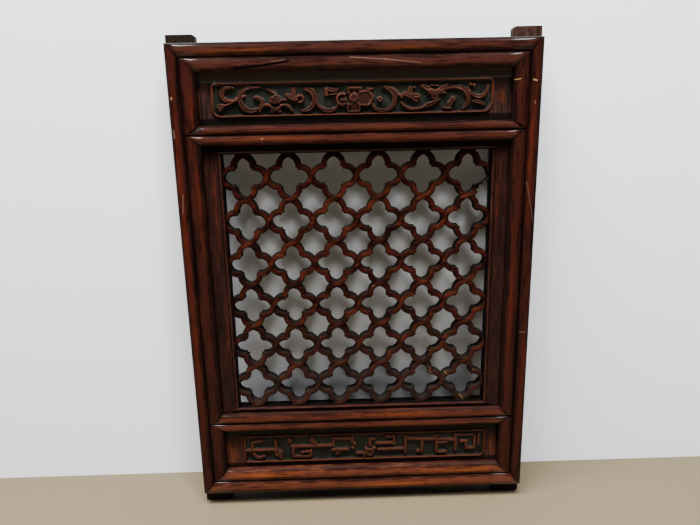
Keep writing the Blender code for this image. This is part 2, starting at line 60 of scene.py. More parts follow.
HAIR = 1e-5
# Each rail: its upper edge, its lower edge, and the groove between its two reeds.
RAILS = {}
for rail_name, upper_reed in (("rail_top", 0.0228), ("rail_upper", 0.0152),
                              ("rail_lower", 0.0192), ("rail_bottom", 0.0245)):
    low_corner, high_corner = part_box(rail_name)
    RAILS[rail_name] = (high_corner.z, low_corner.z, high_corner.z - upper_reed)
# How far out the upper and the lower edge of each rail reach over the stiles.
RAIL_ENDS = {"rail_top": (OUTER_X, INNER_X), "rail_upper": (INNER_X, INNER_X),
             "rail_lower": (INNER_X, INNER_X), "rail_bottom": (INNER_X, OUTER_X)}


def fresh():
    """Leave edit mode and select nothing."""
    if bpy.context.object and bpy.context.object.mode == "EDIT":
        bpy.ops.object.mode_set(mode="OBJECT")
    bpy.ops.object.select_all(action="DESELECT")


def pick(*pieces):
    """Select these pieces and no others, the first of them active."""
    fresh()
    for piece in pieces:
        piece.select_set(True)
    bpy.context.view_layer.objects.active = pieces[0]


def edit(piece, kind="FACE", chosen=None):
    """Edit one piece, with all of it selected, or the faces or edges that pass a test."""
    pick(piece)
    bpy.ops.object.mode_set(mode="EDIT")
    bpy.ops.mesh.select_mode(type=kind)
    if chosen is None:
        bpy.ops.mesh.select_all(action="SELECT")
        return
    bpy.ops.mesh.select_all(action="DESELECT")
    shape = bmesh.from_edit_mesh(piece.data)
    for item in (shape.faces if kind == "FACE" else shape.edges):
        item.select = bool(chosen(item))
    shape.select_flush_mode()
    bmesh.update_edit_mesh(piece.data)


def section(outline, place):
    """A flat face with the given corners, each set in space by place."""
    fresh()
    bpy.ops.mesh.primitive_circle_add(vertices=len(outline), radius=0.01, fill_type="NGON")
    face = bpy.context.object
    for vertex, corner in zip(face.data.vertices, outline):
        vertex.co = place(*corner)
    return face


def drawn_out(outline, place, way):
    """A solid: a section drawn out along a straight way."""
    solid = section(outline, place)
    edit(solid)
    bpy.ops.mesh.extrude_region_move(TRANSFORM_OT_translate={"value": way})
    bpy.ops.mesh.select_all(action="SELECT")
    bpy.ops.mesh.normals_make_consistent(inside=False)
    fresh()
    return solid


LONG_EDGE = 0.05


def rings(piece, axis, count):
    """Cross cuts along a moulding, evenly spaced, so that it can be worn uneven."""
    edit(piece, "EDGE", lambda e: abs((e.verts[0].co - e.verts[1].co)[axis]) > LONG_EDGE)
    bpy.ops.mesh.subdivide(number_cuts=count)
    fresh()


def slice_off(piece, point, normal):
    """Cut a piece with a plane, and take off the side that the normal points to."""
    edit(piece)
    bpy.ops.mesh.bisect(plane_co=point, plane_no=normal, clear_outer=True, use_fill=True)
    fresh()


def apply_modifier(piece, kind, **settings):
    """Put a modifier on a piece and make it part of the mesh."""
    pick(piece)
    change = piece.modifiers.new("change", kind)
    for name, value in settings.items():
        setattr(change, name, value)
    bpy.ops.object.modifier_apply(modifier=change.name)


def as_one(pieces):
    """Join several pieces into the first of them."""
    pick(*pieces)
    if len(pieces) > 1:
        bpy.ops.object.join()
    return pieces[0]


def apply_cut(piece, tools):
    """Cut joined tools out of a piece."""
    tool = as_one(tools)
    apply_modifier(piece, "BOOLEAN", operation="DIFFERENCE", object=tool)
    bpy.data.objects.remove(tool, do_unlink=True)


def block(outline, front, back):
    """A cutter with an outline of (x, z) corners, from one depth to another."""
    return drawn_out(outline, lambda x, z: (x, front, z), (0, back - front, 0))


REED_FACETS = 14


def reeded(width, groove):
    """The section of a frame member as (across, y): two half-round reeds and a flat back."""
    corners = []
    for start, end in ((0.0, groove), (groove, width)):
        for facet in range(REED_FACETS + 1):
            turn = math.pi * facet / REED_FACETS
            corners.append(((start + end) / 2 - (end - start) / 2 * math.cos(turn),
                            REED_FOOT - REED_RISE * math.sin(turn)))
    del corners[REED_FACETS]
    return corners + [(width, 0.0), (0.0, 0.0)]


def mitre_lines(side, of_outer_reed):
    """Where the reeds of stiles and rails meet, as (x, z) segments on one side of the panel."""
    lines = []
    for rail_name, (high, low, middle) in RAILS.items():
        upper, lower = RAIL_ENDS[rail_name]
        corners = [Vector((side * x, z)) for x, z in ((upper, high), (GROOVE_X, middle), (lower, low))]
        for a, b in zip(corners, corners[1:]):
            if (max(abs(a.x), abs(b.x)) > GROOVE_X + SEAM) == of_outer_reed:
                lines.append((a, b))
    return lines


ROUND_OVER = 0.011
ROUND_SHARE = 0.42
WEAR = 0.0007
WEAR_SCALE = 60
WEAR_STRETCH = 0.22
WEAR_START = Vector((7.1, 3.3, 1.7))
MITRE_REACH = 0.03


def near_line(point, lines):
    """How far a point is from the nearest of some segments."""
    nearest = 1.0
    for a, b in lines:
        share = max(0.0, min(1.0, (point - a).dot(b - a) / (b - a).length_squared))
        nearest = min(nearest, (point - a - (b - a) * share).length)
    return nearest


def wear_reeds(piece, along, rail_name=None):
    """Round the reeds over towards their mitres and rub their crests down unevenly."""
    lines = {(side, outer): mitre_lines(side, outer) for side in (-1, 1) for outer in (False, True)}
    for vertex in piece.data.vertices:
        x, y, z = vertex.co
        if y > REED_FOOT - HAIR:
            continue
        if rail_name and abs(x) > INNER_X - MITRE_REACH:
            above_groove = z > RAILS[rail_name][2]
            outer = {"rail_top": above_groove, "rail_bottom": not above_groove}.get(rail_name, False)
            gap = near_line(Vector((x, z)), lines[1 if x > 0 else -1, outer])
            if gap < ROUND_OVER:
                drop = ROUND_SHARE * (1 - gap / ROUND_OVER) ** 2
                y = REED_FOOT + (y - REED_FOOT) * (1 - drop)
        stretched = Vector((x, 0.0, z)) * WEAR_SCALE
        stretched[along] *= WEAR_STRETCH
        rub = 0.5 + 0.5 * noise.noise(stretched + WEAR_START)
        vertex.co.y = y + WEAR * rub * (REED_FOOT - y) / REED_RISE


def smooth(piece, degrees=38):
    """Smooth shading, except over edges sharper than the angle."""
    pick(piece)
    bpy.ops.object.shade_smooth_by_angle(angle=math.radians(degrees))


def settle(piece, name, material, slot, *nodes):
    """Name a finished piece, give it its finish and put it in place of its node."""
    piece.name = piece.data.name = name
    piece.data.materials.clear()
    piece.data.materials.append(material)
    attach(piece, "root")
    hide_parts(*nodes)


LUG_ROUND = 0.0045
LUG_EDGE = 0.002
FOOT_ROUND = 0.006
ROUND_STEPS = 8
STILE_RINGS = 300


def corner_round(x, z, toward_x, toward_z, radius):
    """The outline of what comes off a square corner to round it."""
    middle = Vector((x + toward_x * radius, z + toward_z * radius))
    turns = [math.pi / 2 * step / ROUND_STEPS for step in range(ROUND_STEPS + 1)]
    arc = [(middle.x - toward_x * radius * math.cos(turn), middle.y - toward_z * radius * math.sin(turn))
           for turn in turns]
    return [(x - toward_x * FREE, z - toward_z * FREE), (x - toward_x * FREE, middle.y), *arc,
            (middle.x, z - toward_z * FREE)]


def stile(name, side):
    """One upright: its reeds from end to end, then the laps for the rails cut into its face."""
    lowest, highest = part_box(name)
    outline = reeded(OUTER_X - INNER_X, OUTER_X - GROOVE_X)
    piece = drawn_out(outline, lambda across, y: (side * (OUTER_X - across), y, lowest.z),
                      (0, 0, highest.z - lowest.z))
    rings(piece, 2, STILE_RINGS)
    out, outer, groove, inner, inside = [
        side * x for x in (OUTER_X + FREE, OUTER_X, GROOVE_X, INNER_X, INNER_X - FREE)]
    laps = []
    for rail_name, beyond in (("rail_top", highest.z + FREE), ("rail_bottom", lowest.z - FREE)):
        far, near, middle = RAILS[rail_name]
        if rail_name == "rail_bottom":
            far, near = near, far
        laps.append([(out, far), (outer, far), (groove, middle), (inner, near), (inside, near),
                     (inside, beyond), (out, beyond)])
    for rail_name in ("rail_upper", "rail_lower"):
        high, low, middle = RAILS[rail_name]
        laps.append([(groove, middle), (inner, high), (inside, high), (inside, low), (inner, low)])
    rounds = [corner_round(inner, highest.z, side, -1, LUG_ROUND),
              corner_round(outer, highest.z, -side, -1, LUG_EDGE),
              corner_round(outer, lowest.z, -side, 1, FOOT_ROUND if side > 0 else LUG_EDGE)]
    for outlines, depth in ((laps, LAP_FACE), (rounds, FREE)):
        apply_cut(piece, [block(outline, REED_FOOT - FREE, depth) for outline in outlines])
    return piece


def feed(socket, value):
    """Give a socket a value, or join it to another node's output."""
    if isinstance(value, bpy.types.NodeSocket):
        socket.id_data.links.new(value, socket)
    else:
        socket.default_value = value


def node(kind, inputs, tree=None, **settings):
    """Add a node and feed its inputs; unless a tree is named, it joins the tree of what feeds it."""
    if tree is None:
        tree = next(value.id_data for value in inputs.values() if isinstance(value, bpy.types.NodeSocket))
    made = tree.nodes.new("ShaderNode" + kind)
    for name, value in settings.items():
        setattr(made, name, value)
    for name, value in inputs.items():
        feed(made.inputs[name], value)
    return made


def coordinate(vector, axis):
    """One coordinate of a vector."""
    return node("SeparateXYZ", {"Vector": vector}).outputs[axis]


def vector_sum(operation, first, second):
    """The result of a sum on two vectors."""
    made = node("VectorMath", {0: first, 1: second}, operation=operation)
    return made.outputs["Value" if operation in ("DOT_PRODUCT", "DISTANCE") else 0]


def sum_of(operation, *values):
    """The result of a sum on one, two or three values."""
    return node("Math", dict(enumerate(values)), operation=operation).outputs[0]


def ramp(value, low, high, out_low=0.0, out_high=1.0):
    """A smooth change from one value to another as an input goes from low to high."""
    inputs = {"Value": value, "From Min": low, "From Max": high, "To Min": out_low, "To Max": out_high}
    return node("MapRange", inputs, interpolation_type="SMOOTHSTEP").outputs["Result"]


def blend(share, first, second, way="MIX"):
    """One colour laid over another by a share."""
    return node("Mix", {0: share, 6: first, 7: second}, data_type="RGBA", blend_type=way).outputs[2]


def gained(colour, gain):
    """A colour made lighter or darker by a factor."""
    grey = node("CombineXYZ", dict.fromkeys("XYZ", gain)).outputs[0]
    return blend(1.0, colour, grey, "MULTIPLY")


def noise_of(vector, scale, detail=3.0, roughness=0.55):
    """Cloudy noise between 0 and 1."""
    inputs = {"Vector": vector, "Scale": scale, "Detail": detail, "Roughness": roughness}
    return node("TexNoise", inputs).outputs["Fac"]


def new_group(name, inputs, outputs):
    """A node group with named sockets: its tree, what comes in and what goes out."""
    tree = bpy.data.node_groups.new(name, "ShaderNodeTree")
    for label, value in inputs.items():
        kind = {4: "Color", 3: "Vector"}.get(len(value) if isinstance(value, tuple) else 1, "Float")
        socket = tree.interface.new_socket(name=label, in_out="INPUT", socket_type="NodeSocket" + kind)
        socket.default_value = value
    for label, kind in outputs.items():
        tree.interface.new_socket(name=label, in_out="OUTPUT", socket_type="NodeSocket" + kind)
    return tree, tree.nodes.new("NodeGroupInput").outputs, tree.nodes.new("NodeGroupOutput").inputs


def old_lacquer_group():
    """Worn lacquer over long-grained softwood: streaks along X, blotches, rubbed places, and grimy places
    that also carry painted shade.
    """
    tree, given, result = new_group(
        "old_lacquer",
        {"Vector": (0.0, 0.0, 0.0), "Dark": (0.01, 0.005, 0.003, 1.0), "Middle": (0.05, 0.012, 0.005, 1.0),
         "Bright": (0.2, 0.06, 0.02, 1.0), "DirtShade": (0.0012, 0.0009, 0.0008, 1.0), "Worn": 0.0, "GrimeShade": 0.0},
        {"Color": "Color", "Roughness": "Float", "Height": "Float"})
    layers = []
    for along, across, detail in ((26, 400, 4), (70, 1100, 3), (11, 60, 3)):
        stretched = vector_sum("MULTIPLY", given["Vector"], (along, across, across))
        layers.append(noise_of(stretched, 1.0, detail, 0.6))
    streaks, fibres, blotches = layers
    tone = sum_of("MULTIPLY", streaks, 0.46)
    for part, share in ((fibres, 0.24), (blotches, 0.3), (given["Worn"], 0.12)):
        tone = sum_of("MULTIPLY_ADD", part, share, tone)
    colour = blend(ramp(tone, 0.42, 0.51), given["Dark"], given["Middle"])
    colour = blend(ramp(tone, 0.51, 0.62), colour, given["Bright"])
    gloss = ramp(blotches, 0.3, 0.7, 0.3, 0.44)
    lift = sum_of("MULTIPLY_ADD", fibres, 0.5, sum_of("MULTIPLY", streaks, 0.8))
    # Grime with painted shade: where the depth mask is full, the colour turns to the dark colour of dirt and
    # painted shade.
    feed(result["Color"], blend(given["GrimeShade"], colour, given["DirtShade"]))
    feed(result["Roughness"], sum_of("MULTIPLY_ADD", given["GrimeShade"], 0.35, gloss))
    feed(result["Height"], lift)
    return tree


def depth_group():
    """Masks by depth: grime with painted shade deep in the grooves and recesses, and rubbing on what stands
    proud.
    """
    tree, given, result = new_group(
        "by_depth", {"Vector": (0.0, 0.0, 0.0), "Deep": -0.033, "GrimeShadeFrom": -0.0345, "Proud": -0.0385,
                     "Crest": -0.04, "Behind": -0.03}, {"GrimeShade": "Float", "Worn": "Float"})
    uneven = sum_of("SUBTRACT", noise_of(given["Vector"], 45.0), 0.5)
    depth = sum_of("MULTIPLY_ADD", uneven, 0.0022, coordinate(given["Vector"], "Y"))
    # Grime with painted shade: the mask grows towards the bottoms of grooves and recesses, where shade
    # falls, and darkens them there.
    in_groove = ramp(depth, given["GrimeShadeFrom"], given["Deep"])
    feed(result["GrimeShade"], sum_of("MULTIPLY", in_groove, ramp(depth, given["Behind"], given["Deep"])))
    feed(result["Worn"], ramp(depth, given["Proud"], given["Crest"]))
    return tree


def mark_group():
    """A scratch or chip: full along a line between two points, ragged at its edge."""
    tree, given, result = new_group(
        "mark", {"Vector": (0.0, 0.0, 0.0), "Start": (0.0, 0.0, 0.0), "End": (0.0, 0.0, 0.1),
                 "Width": 0.002}, {"Mask": "Float"})
    run = vector_sum("SUBTRACT", given["End"], given["Start"])
    offset = vector_sum("SUBTRACT", given["Vector"], given["Start"])
    offset = vector_sum("MULTIPLY", offset, (1.0, 0.0, 1.0))
    onto_run, whole = vector_sum("DOT_PRODUCT", offset, run), vector_sum("DOT_PRODUCT", run, run)
    share = node("Math", {0: onto_run, 1: whole}, operation="DIVIDE", use_clamp=True).outputs[0]
    nearest = node("VectorMath", {0: run, "Scale": share}, operation="SCALE").outputs[0]
    ragged = sum_of("ADD", noise_of(given["Vector"], 700.0, 3.0, 0.7), 0.1)
    share = sum_of("DIVIDE", vector_sum("DISTANCE", offset, nearest),
                   sum_of("MULTIPLY", given["Width"], ragged))
    in_front = ramp(coordinate(given["Vector"], "Y"), -0.008, -0.011)
    feed(result["Mask"], sum_of("MULTIPLY", ramp(share, 1.25, 0.75), in_front))
    return tree


OLD_LACQUER, BY_DEPTH, MARK = old_lacquer_group(), depth_group(), mark_group()


def placed(shared, inputs):
    """A shared group placed in a material: what it puts out."""
    return node("Group", inputs, node_tree=shared).outputs


def new_material(name):
    """A new material, its tree and its shader."""
    material = bpy.data.materials.new(name)
    material.use_nodes = True
    return material, material.node_tree, material.node_tree.nodes["Principled BSDF"]


def finish_off(shader, colour, roughness, relief, coat, relief_depth, specular, coat_roughness):
    """Join colour, roughness and relief to the shader, and set its gloss."""
    bump = node("Bump", {"Height": relief, "Strength": 1.0, "Distance": relief_depth}).outputs[0]
    for socket, value in {"Base Color": colour, "Roughness": roughness, "Normal": bump, "Coat Weight": coat,
                          "Specular IOR Level": specular, "Coat Roughness": coat_roughness}.items():
        feed(shader.inputs[socket], value)


def tones(*colours):
    """The tones of a lacquer in thousandths: dark, middle, bright, and the colour of dirt with painted shade
    in the grooves if it is not black.
    """
    return {label: (red / 1000, green / 1000, blue / 1000, 1)
            for label, (red, green, blue) in zip(("Dark", "Middle", "Bright", "DirtShade"), colours)}


RAW_WOOD = (0.16, 0.092, 0.034, 1.0)
PALE = (0.1, 0.062, 0.045, 1.0)
BLACK = (0.0006, 0.0005, 0.0005, 1.0)
DUST = (0.008, 0.0064, 0.0054, 1.0)
ORANGE_GLOW = (1.25, 1.21, 0.97, 1)
RED_GLOW = (1.24, 1.09, 1.00, 1)
GRAIN_START = (0.37, 0.11, 0.23)
COAT = 0.03


def marked(here, colour, marks, way="MIX"):
    """Lay marks over a colour: each (x, z, to x, to z, width, strength, colour), in millimetres."""
    for x, z, to_x, to_z, width, strength, tint in marks:
        start, end = (x / 1000, 0.0, z / 1000), (to_x / 1000, 0.0, to_z / 1000)
        mask = placed(MARK, {"Vector": here, "Start": start, "End": end, "Width": width / 1000})["Mask"]
        colour = blend(sum_of("MULTIPLY", mask, strength), colour, tint, way)
    return colour


def worn_warm(here, colour, patches, tint):
    """Long patches where the lacquer has worn thin: each (x, z, to x, to z, width), in millimetres."""
    for x, z, to_x, to_z, width in patches:
        for share in (1.0, 0.65, 0.35):
            near, far = (1 + share) / 2, (1 - share) / 2
            nested = (x * near + to_x * far, z * near + to_z * far, x * far + to_x * near,
                      z * far + to_z * near, width * share, 1.0, tint)
            colour = marked(here, colour, [nested], "MULTIPLY")
    return colour


def lacquered(name, upright, lacquer, depths, marks=(), warm=(), underside_light=0.0, ends_coat=0.0,
              ends_colour=None, dust=0.0, low_grime=None):
    """A lacquered finish: grain along Z when upright, otherwise along X, with its own wear in it.

    How much the sides that face down are painted lighter than those that face up: painted light under the
    reeds and painted shade on their upper sides.
    """
    material, tree, shader = new_material(name)
    here = node("TexCoord", {}, tree).outputs["Object"]
    turn = (0.0, math.pi / 2 if upright else 0.0, 0.0)
    along = node("Mapping", {"Vector": here, "Location": GRAIN_START, "Rotation": turn}).outputs[0]
    masks = placed(BY_DEPTH, {"Vector": here, **depths})
    grain = placed(OLD_LACQUER, {"Vector": along, **lacquer, "Worn": masks["Worn"], "GrimeShade": masks["GrimeShade"]})
    upwards = coordinate(node("NewGeometry", {}, tree).outputs["Normal"], "Z")
    height = coordinate(here, "Z")
    colour, roughness, coat = grain["Color"], grain["Roughness"], COAT
    # Painted light and shade: faces turned down are painted lighter and faces turned up darker, which evens
    # out the reeds' shading.
    if underside_light:
        gain = sum_of("POWER", 1 + 5 * underside_light, sum_of("MULTIPLY", upwards, -1.0))
        gain = sum_of("MAXIMUM", sum_of("MULTIPLY", gain, 1.1), 1 - 0.28 * underside_light)
        colour = gained(colour, sum_of("MINIMUM", gain, 1 + 1.9 * underside_light))
    colour = worn_warm(here, colour, warm, RED_GLOW if upright else ORANGE_GLOW)
    colour = marked(here, colour, marks)
    if ends_colour:
        up_high = ramp(height, TOP_EDGE - 0.001, TOP_EDGE)
        uneven = ramp(grain["Height"], 0.55, 0.75, 1.0, 0.25)
        colour = blend(sum_of("MULTIPLY", up_high, uneven), colour, ends_colour)
        roughness = sum_of("MAXIMUM", roughness, up_high)
    if low_grime:
        colour = blend(ramp(height, *low_grime, 0.62, 0.0), colour, DUST)
    if dust:
        lying = sum_of("MULTIPLY", ramp(upwards, 0.35, 0.75, 0.0, dust), masks["GrimeShade"])
        colour = blend(lying, colour, DUST)
    if ends_coat:
        far_out = sum_of("ABSOLUTE", coordinate(here, "X"))
        coat = ramp(far_out, INNER_X - 0.012, INNER_X + 0.002, coat, ends_coat)
    finish_off(shader, colour, roughness, grain["Height"], coat, relief_depth=0.00025, specular=0.08,
               coat_roughness=0.1)
    return material


# Depths from which grime with painted shade fills the reeds' grooves, and at which their crests are rubbed.
FRAME_DEPTHS = {"Deep": -0.0332, "GrimeShadeFrom": -0.0349, "Proud": -0.037, "Crest": -0.04, "Behind": -0.031}
STILE_LACQUER = tones((2.5, 1.4, 1.3), (5.4, 1.9, 1.5), (17.5, 4.2, 2.8), (8.5, 5.3, 4.2))
TOP_EDGE = RAILS["rail_top"][0]
LEFT_MARKS = [
    (-310.6, -63.7, -310.4, -66, 2.2, 0.9, RAW_WOOD), (-311.8, -118, -311.4, -129, 3, 0.35, PALE),
    (-305.5, -226.7, -308.5, -260.1, 1.4, 0.5, PALE)]
RIGHT_MARKS = [
    (270, -44.8, 279, -44, 1.2, 0.8, RAW_WOOD), (301, -45.5, 306, -47, 2.2, 0.9, RAW_WOOD),
    (305, -80, 305.2, -85, 1.2, 0.7, PALE), (298.3, -217.9, 313, -289, 1.1, 0.35, PALE),
    (300, -498, 313.2, -498.4, 1.1, 0.75, PALE)]
LEFT_WARM = [
    (-309.5, -30, -307.5, -390, 11), (-306, -300, -306, -680, 8), (-279, -50, -279, -150, 8),
    (-278, -160, -277, -330, 7)]
RIGHT_WARM = [(303, -30, 301, -290, 9), (310, -390, 308, -720, 8), (280, -300, 280, -590, 7)]
for node_name, side, marks, warm, lug in (
        ("stile_left", -1, LEFT_MARKS, LEFT_WARM, (0.0095, 0.008, 0.006, 1)),
        ("stile_right", 1, RIGHT_MARKS, RIGHT_WARM, (0.034, 0.0175, 0.013, 1))):
    piece = stile(node_name, side)
    wear_reeds(piece, 2)
    smooth(piece)
    # The stiles' faces turned down are painted lighter and those turned up darker: painted light and shade.
    finish = lacquered(node_name + "_lacquer", True, STILE_LACQUER, FRAME_DEPTHS, marks, warm, underside_light=0.5,
                       ends_colour=lug)
    settle(piece, node_name + "_reeded", finish, "frame_lacquer", node_name)


# The four rails: lacquered softwood, planed with the same pair of reeds. The top and bottom rails
# are mitred to the stiles' reeds, and the two between them end in points. Each body is held
# between the stiles.
RAIL_GAP = 0.0003
RAIL_RINGS = 210


def rail(name):
    """A rail with its ends cut to the mitres and its body shouldered between the stiles."""
    high, low, middle = RAILS[name]
    piece = drawn_out(reeded(high - low, high - middle), lambda across, y: (-OUTER_X, y, high - across),
                      (2 * OUTER_X, 0, 0))
    rings(piece, 0, RAIL_RINGS)
    upper, lower = RAIL_ENDS[name]
    for side in (-1, 1):
        mitre_cut = [(upper - SEAM, high + FREE), (upper - SEAM, high), (GROOVE_X - SEAM, middle),
                     (lower - SEAM, low), (lower - SEAM, low - FREE), (OUTER_X + FREE, low - FREE),
                     (OUTER_X + FREE, high + FREE)]
        apply_cut(piece, [block([(side * x, z) for x, z in mitre_cut], REED_FOOT - FREE, FREE)])
        near, far = side * (INNER_X - RAIL_GAP), side * (OUTER_X + 2 * FREE)
        shoulder = [(near, low - 2 * FREE), (far, low - 2 * FREE), (far, high + 2 * FREE),
                    (near, high + 2 * FREE)]
        apply_cut(piece, [block(shoulder, LAP_FACE - RAIL_GAP, 2 * FREE)])
    return piece


# The rails' colour for grime with painted shade in their grooves, in thousandths.
RAIL_DIRT_SHADE = (20, 12, 9.5)
RAIL_TONES = {"rail_top": ((2.4, 1.2, 1.1), (8.4, 2.8, 2.2), (27.5, 8, 5.3)),
              "rail_upper": ((3.6, 1.4, 1.2), (11, 3.1, 2.1), (34, 8.4, 5.2)),
              "rail_lower": ((4.6, 1.9, 1.6), (13.5, 4, 2.6), (45, 11.6, 6.4)),
              "rail_bottom": ((5.8, 2.3, 1.8), (17, 5.3, 3.5), (61, 16.5, 8.3))}
# How much lighter each rail's undersides are painted than its upper sides: painted light and shade.
RAIL_UNDERSIDE_LIGHT = {"rail_top": 1.6, "rail_upper": 1.6, "rail_lower": 1.4, "rail_bottom": 0.6}
WORN_GREEN = (0.0055, 0.0058, 0.0046, 1)
RAIL_MARKS = {
    "rail_top": [
        (-202, -18.5, -160, -15, 3.4, 1.0, BLACK), (-164, -15.5, -111, -8.5, 3, 1.0, BLACK),
        (-140, -8.5, -118, -6.5, 0.9, 0.35, PALE), (-9, -4, 50, -8.2, 1, 0.45, PALE),
        (48, -8, 109.5, -15, 1.2, 0.6, PALE)],
    "rail_upper": [
        (-162.3, -134.1, -162, -134.1, 2.2, 0.9, RAW_WOOD),
        (-279, -116, -266, -117.5, 6.5, 0.8, WORN_GREEN)],
    "rail_lower": [], "rail_bottom": []}
RAIL_WARM = {
    "rail_top": [(-270, 9, -120, 10, 6), (30, 8, 150, 10, 5)],
    "rail_upper": [(-230, -133, -60, -133, 4.5)],
    "rail_lower": [(-20, -660, 150, -659.5, 6.2)],
    "rail_bottom": [
        (120, -786, 275, -786.5, 7.8), (-260, -786, -120, -785, 8), (-20, -815, 150, -813, 7)]}
for node_name in RAILS:
    piece = rail(node_name)
    wear_reeds(piece, 0, node_name)
    smooth(piece)
    finish = lacquered(node_name + "_lacquer", False, tones(*RAIL_TONES[node_name], RAIL_DIRT_SHADE), FRAME_DEPTHS,
                       RAIL_MARKS[node_name], RAIL_WARM[node_name], RAIL_UNDERSIDE_LIGHT[node_name], ends_coat=0.5)
    settle(piece, node_name + "_reeded", finish, "frame_lacquer", node_name)


# The inner frame: four flat members of lacquered softwood round the lattice, each with a thin
# bead planed along its inner edge, mitred at the corners and set in behind the reeds.
BEAD = 0.0055
BEAD_FOOT = -0.0262
BEAD_RISE = 0.0036
FLAT_FACE = -0.0275
FLAT_BACK = -0.003
QUIRK = 0.0012
ARRIS = 0.0004
BEAD_FACETS = 8
INNER_RINGS = 120


def beaded(width):
    """The section of an inner member as (across, y): a flat, a narrow quirk and a bead."""
    start = width - BEAD
    corners = [(0.0, FLAT_BACK), (0.0, FLAT_FACE + ARRIS), (ARRIS, FLAT_FACE), (start - QUIRK, FLAT_FACE)]
    for facet in range(BEAD_FACETS + 1):
        turn = math.pi * facet / BEAD_FACETS
        corners.append((start + BEAD / 2 * (1 - math.cos(turn)), BEAD_FOOT - BEAD_RISE * math.sin(turn)))
    return corners + [(width, FLAT_BACK)]


inner_low, inner_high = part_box("inner_frame_left"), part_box("inner_frame_right")
INSET_LEFT, INSET_RIGHT = inner_low[0].x, inner_high[1].x
OPEN_LEFT, OPEN_RIGHT = inner_low[1].x, inner_high[0].x
INSET_LOW, OPEN_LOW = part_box("inner_frame_bottom")[0].z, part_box("inner_frame_bottom")[1].z
OPEN_HIGH, INSET_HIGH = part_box("inner_frame_top")[0].z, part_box("inner_frame_top")[1].z


def mitre(x, z, opening_x, opening_z, keep_level):
    """The plane from a corner of the inset to the opening's corner, facing the other member."""
    run = Vector((opening_x - x, 0, opening_z - z)).normalized()
    across = Vector((-run.z, 0, run.x))
    away = Vector((x, 0, 0)) if keep_level else Vector((0, 0, z - (INSET_LOW + INSET_HIGH) / 2))
    if across.dot(away) < 0:
        across = -across
    return Vector((opening_x, 0, opening_z)) - across * SEAM / 2, across


# Depths from which grime with painted shade fills the foot of each bead and what lies behind, and at which
# the beads are rubbed.
INNER_DEPTHS = {"Deep": -0.0255, "GrimeShadeFrom": -0.0266, "Proud": -0.0285, "Crest": -0.03, "Behind": 0.1}
INNER_LACQUER = tones((4.4, 2.4, 2.2), (11, 4, 3.3), (27, 8.6, 5.6))
level_finish = lacquered("inner_lacquer_level", False, INNER_LACQUER, INNER_DEPTHS)
upright_finish = lacquered("inner_lacquer_upright", True, INNER_LACQUER, INNER_DEPTHS,
                           marks=[(273.5, -560, 275.5, -602, 2.2, 0.4, PALE)],
                           warm=[(250, -150, 250, -360, 7.5), (-253, -160, -252, -340, 8),
                                 (-248, -420, -248, -650, 7)])
LEVEL = {"top": (INSET_HIGH, OPEN_HIGH), "bottom": (INSET_LOW, OPEN_LOW)}
UPRIGHT = {"left": (INSET_LEFT, OPEN_LEFT), "right": (INSET_RIGHT, OPEN_RIGHT)}
for members, crossed, across_axis, finish in ((LEVEL, UPRIGHT, 2, level_finish),
                                              (UPRIGHT, LEVEL, 0, upright_finish)):
    for where, (inset, opening) in members.items():
        start, end = sorted(edge for edge, _ in crossed.values())
        inwards = math.copysign(1, opening - inset)

        def place(across, y):
            """Where a corner of the section stands at the start of the member."""
            spot = Vector((start, y, start))
            spot[across_axis] = inset + inwards * across
            return spot

        way = Vector((end - start, 0, end - start))
        way[across_axis] = 0
        piece = drawn_out(beaded(abs(opening - inset)), place, way)
        rings(piece, 2 - across_axis, INNER_RINGS)
        for far_inset, far_opening in crossed.values():
            if members is LEVEL:
                slice_off(piece, *mitre(far_inset, inset, far_opening, opening, True))
            else:
                slice_off(piece, *mitre(inset, far_inset, opening, far_opening, False))
        smooth(piece)
        settle(piece, f"inner_frame_{where}_beaded", finish, "inner_frame_lacquer", "inner_frame_" + where)


# The lattice: wavy strips sawn from thin boards, rounded at the front and lacquered, half-lapped
# where they cross. The rising strips pass in front of the falling ones at every crossing.
PITCH = 0.08
SPACING = PITCH / math.sqrt(2)
LATTICE_X = -0.0015
LATTICE_Z = (OPEN_LOW + OPEN_HIGH) / 2
BLOSSOMS = 6
STRIP = 0.0101
STRIP_FRONT = -0.0205
STRIP_BACK = -0.0012
STRIP_GAP = 0.0003
CROSSING_TURN = math.radians(24)
STRAIGHT = 0.0048
LOBE_RADIUS = 0.0202
LOBE_TURN = math.radians(80)
LOBE_STEPS = 11
FRONT_ROUND = 0.0022
UNITS = 7


def half_wave(width, front, back, rounded=0.0):
    """From a crossing to the cusp halfway to the next: a straight run, then an arc, open at both ends."""
    strip = section([(back, -1), (front, -1), (front, 1), (back, 1)],
                    lambda y, side: (0, y, side * width / 2))
    if rounded:
        edit(strip, "EDGE", lambda e: all(v.co.y < (front + back) / 2 for v in e.verts))
        bpy.ops.mesh.bevel(offset=rounded, segments=4, affect="VERTICES")
    edit(strip)
    bpy.ops.mesh.extrude_region_move(TRANSFORM_OT_translate={"value": (STRAIGHT, 0, 0)})
    bpy.ops.mesh.spin(steps=LOBE_STEPS, angle=LOBE_TURN, center=(STRAIGHT, 0, LOBE_RADIUS),
                      axis=(0, 1, 0))
    edit(strip, "FACE", lambda f: all(abs(v.co.x) < HAIR for v in f.verts))
    bpy.ops.mesh.delete(type="ONLY_FACE")
    fresh()
    strip.data.transform(Matrix.Rotation(CROSSING_TURN, 4, "Y"))
    edit(strip)
    bpy.ops.mesh.bisect(plane_co=(SPACING / 2, 0, 0), plane_no=(1, 0, 0), clear_outer=True)
    fresh()
    return strip


def copy(piece, matrix):
    """A copy with its own mesh, moved; a mirrored one has its faces turned back out."""
    twin = piece.copy()
    twin.data = piece.data.copy()
    twin.data.transform(matrix)
    bpy.context.collection.objects.link(twin)
    if matrix.determinant() < 0:
        twin.data.flip_normals()
    return twin


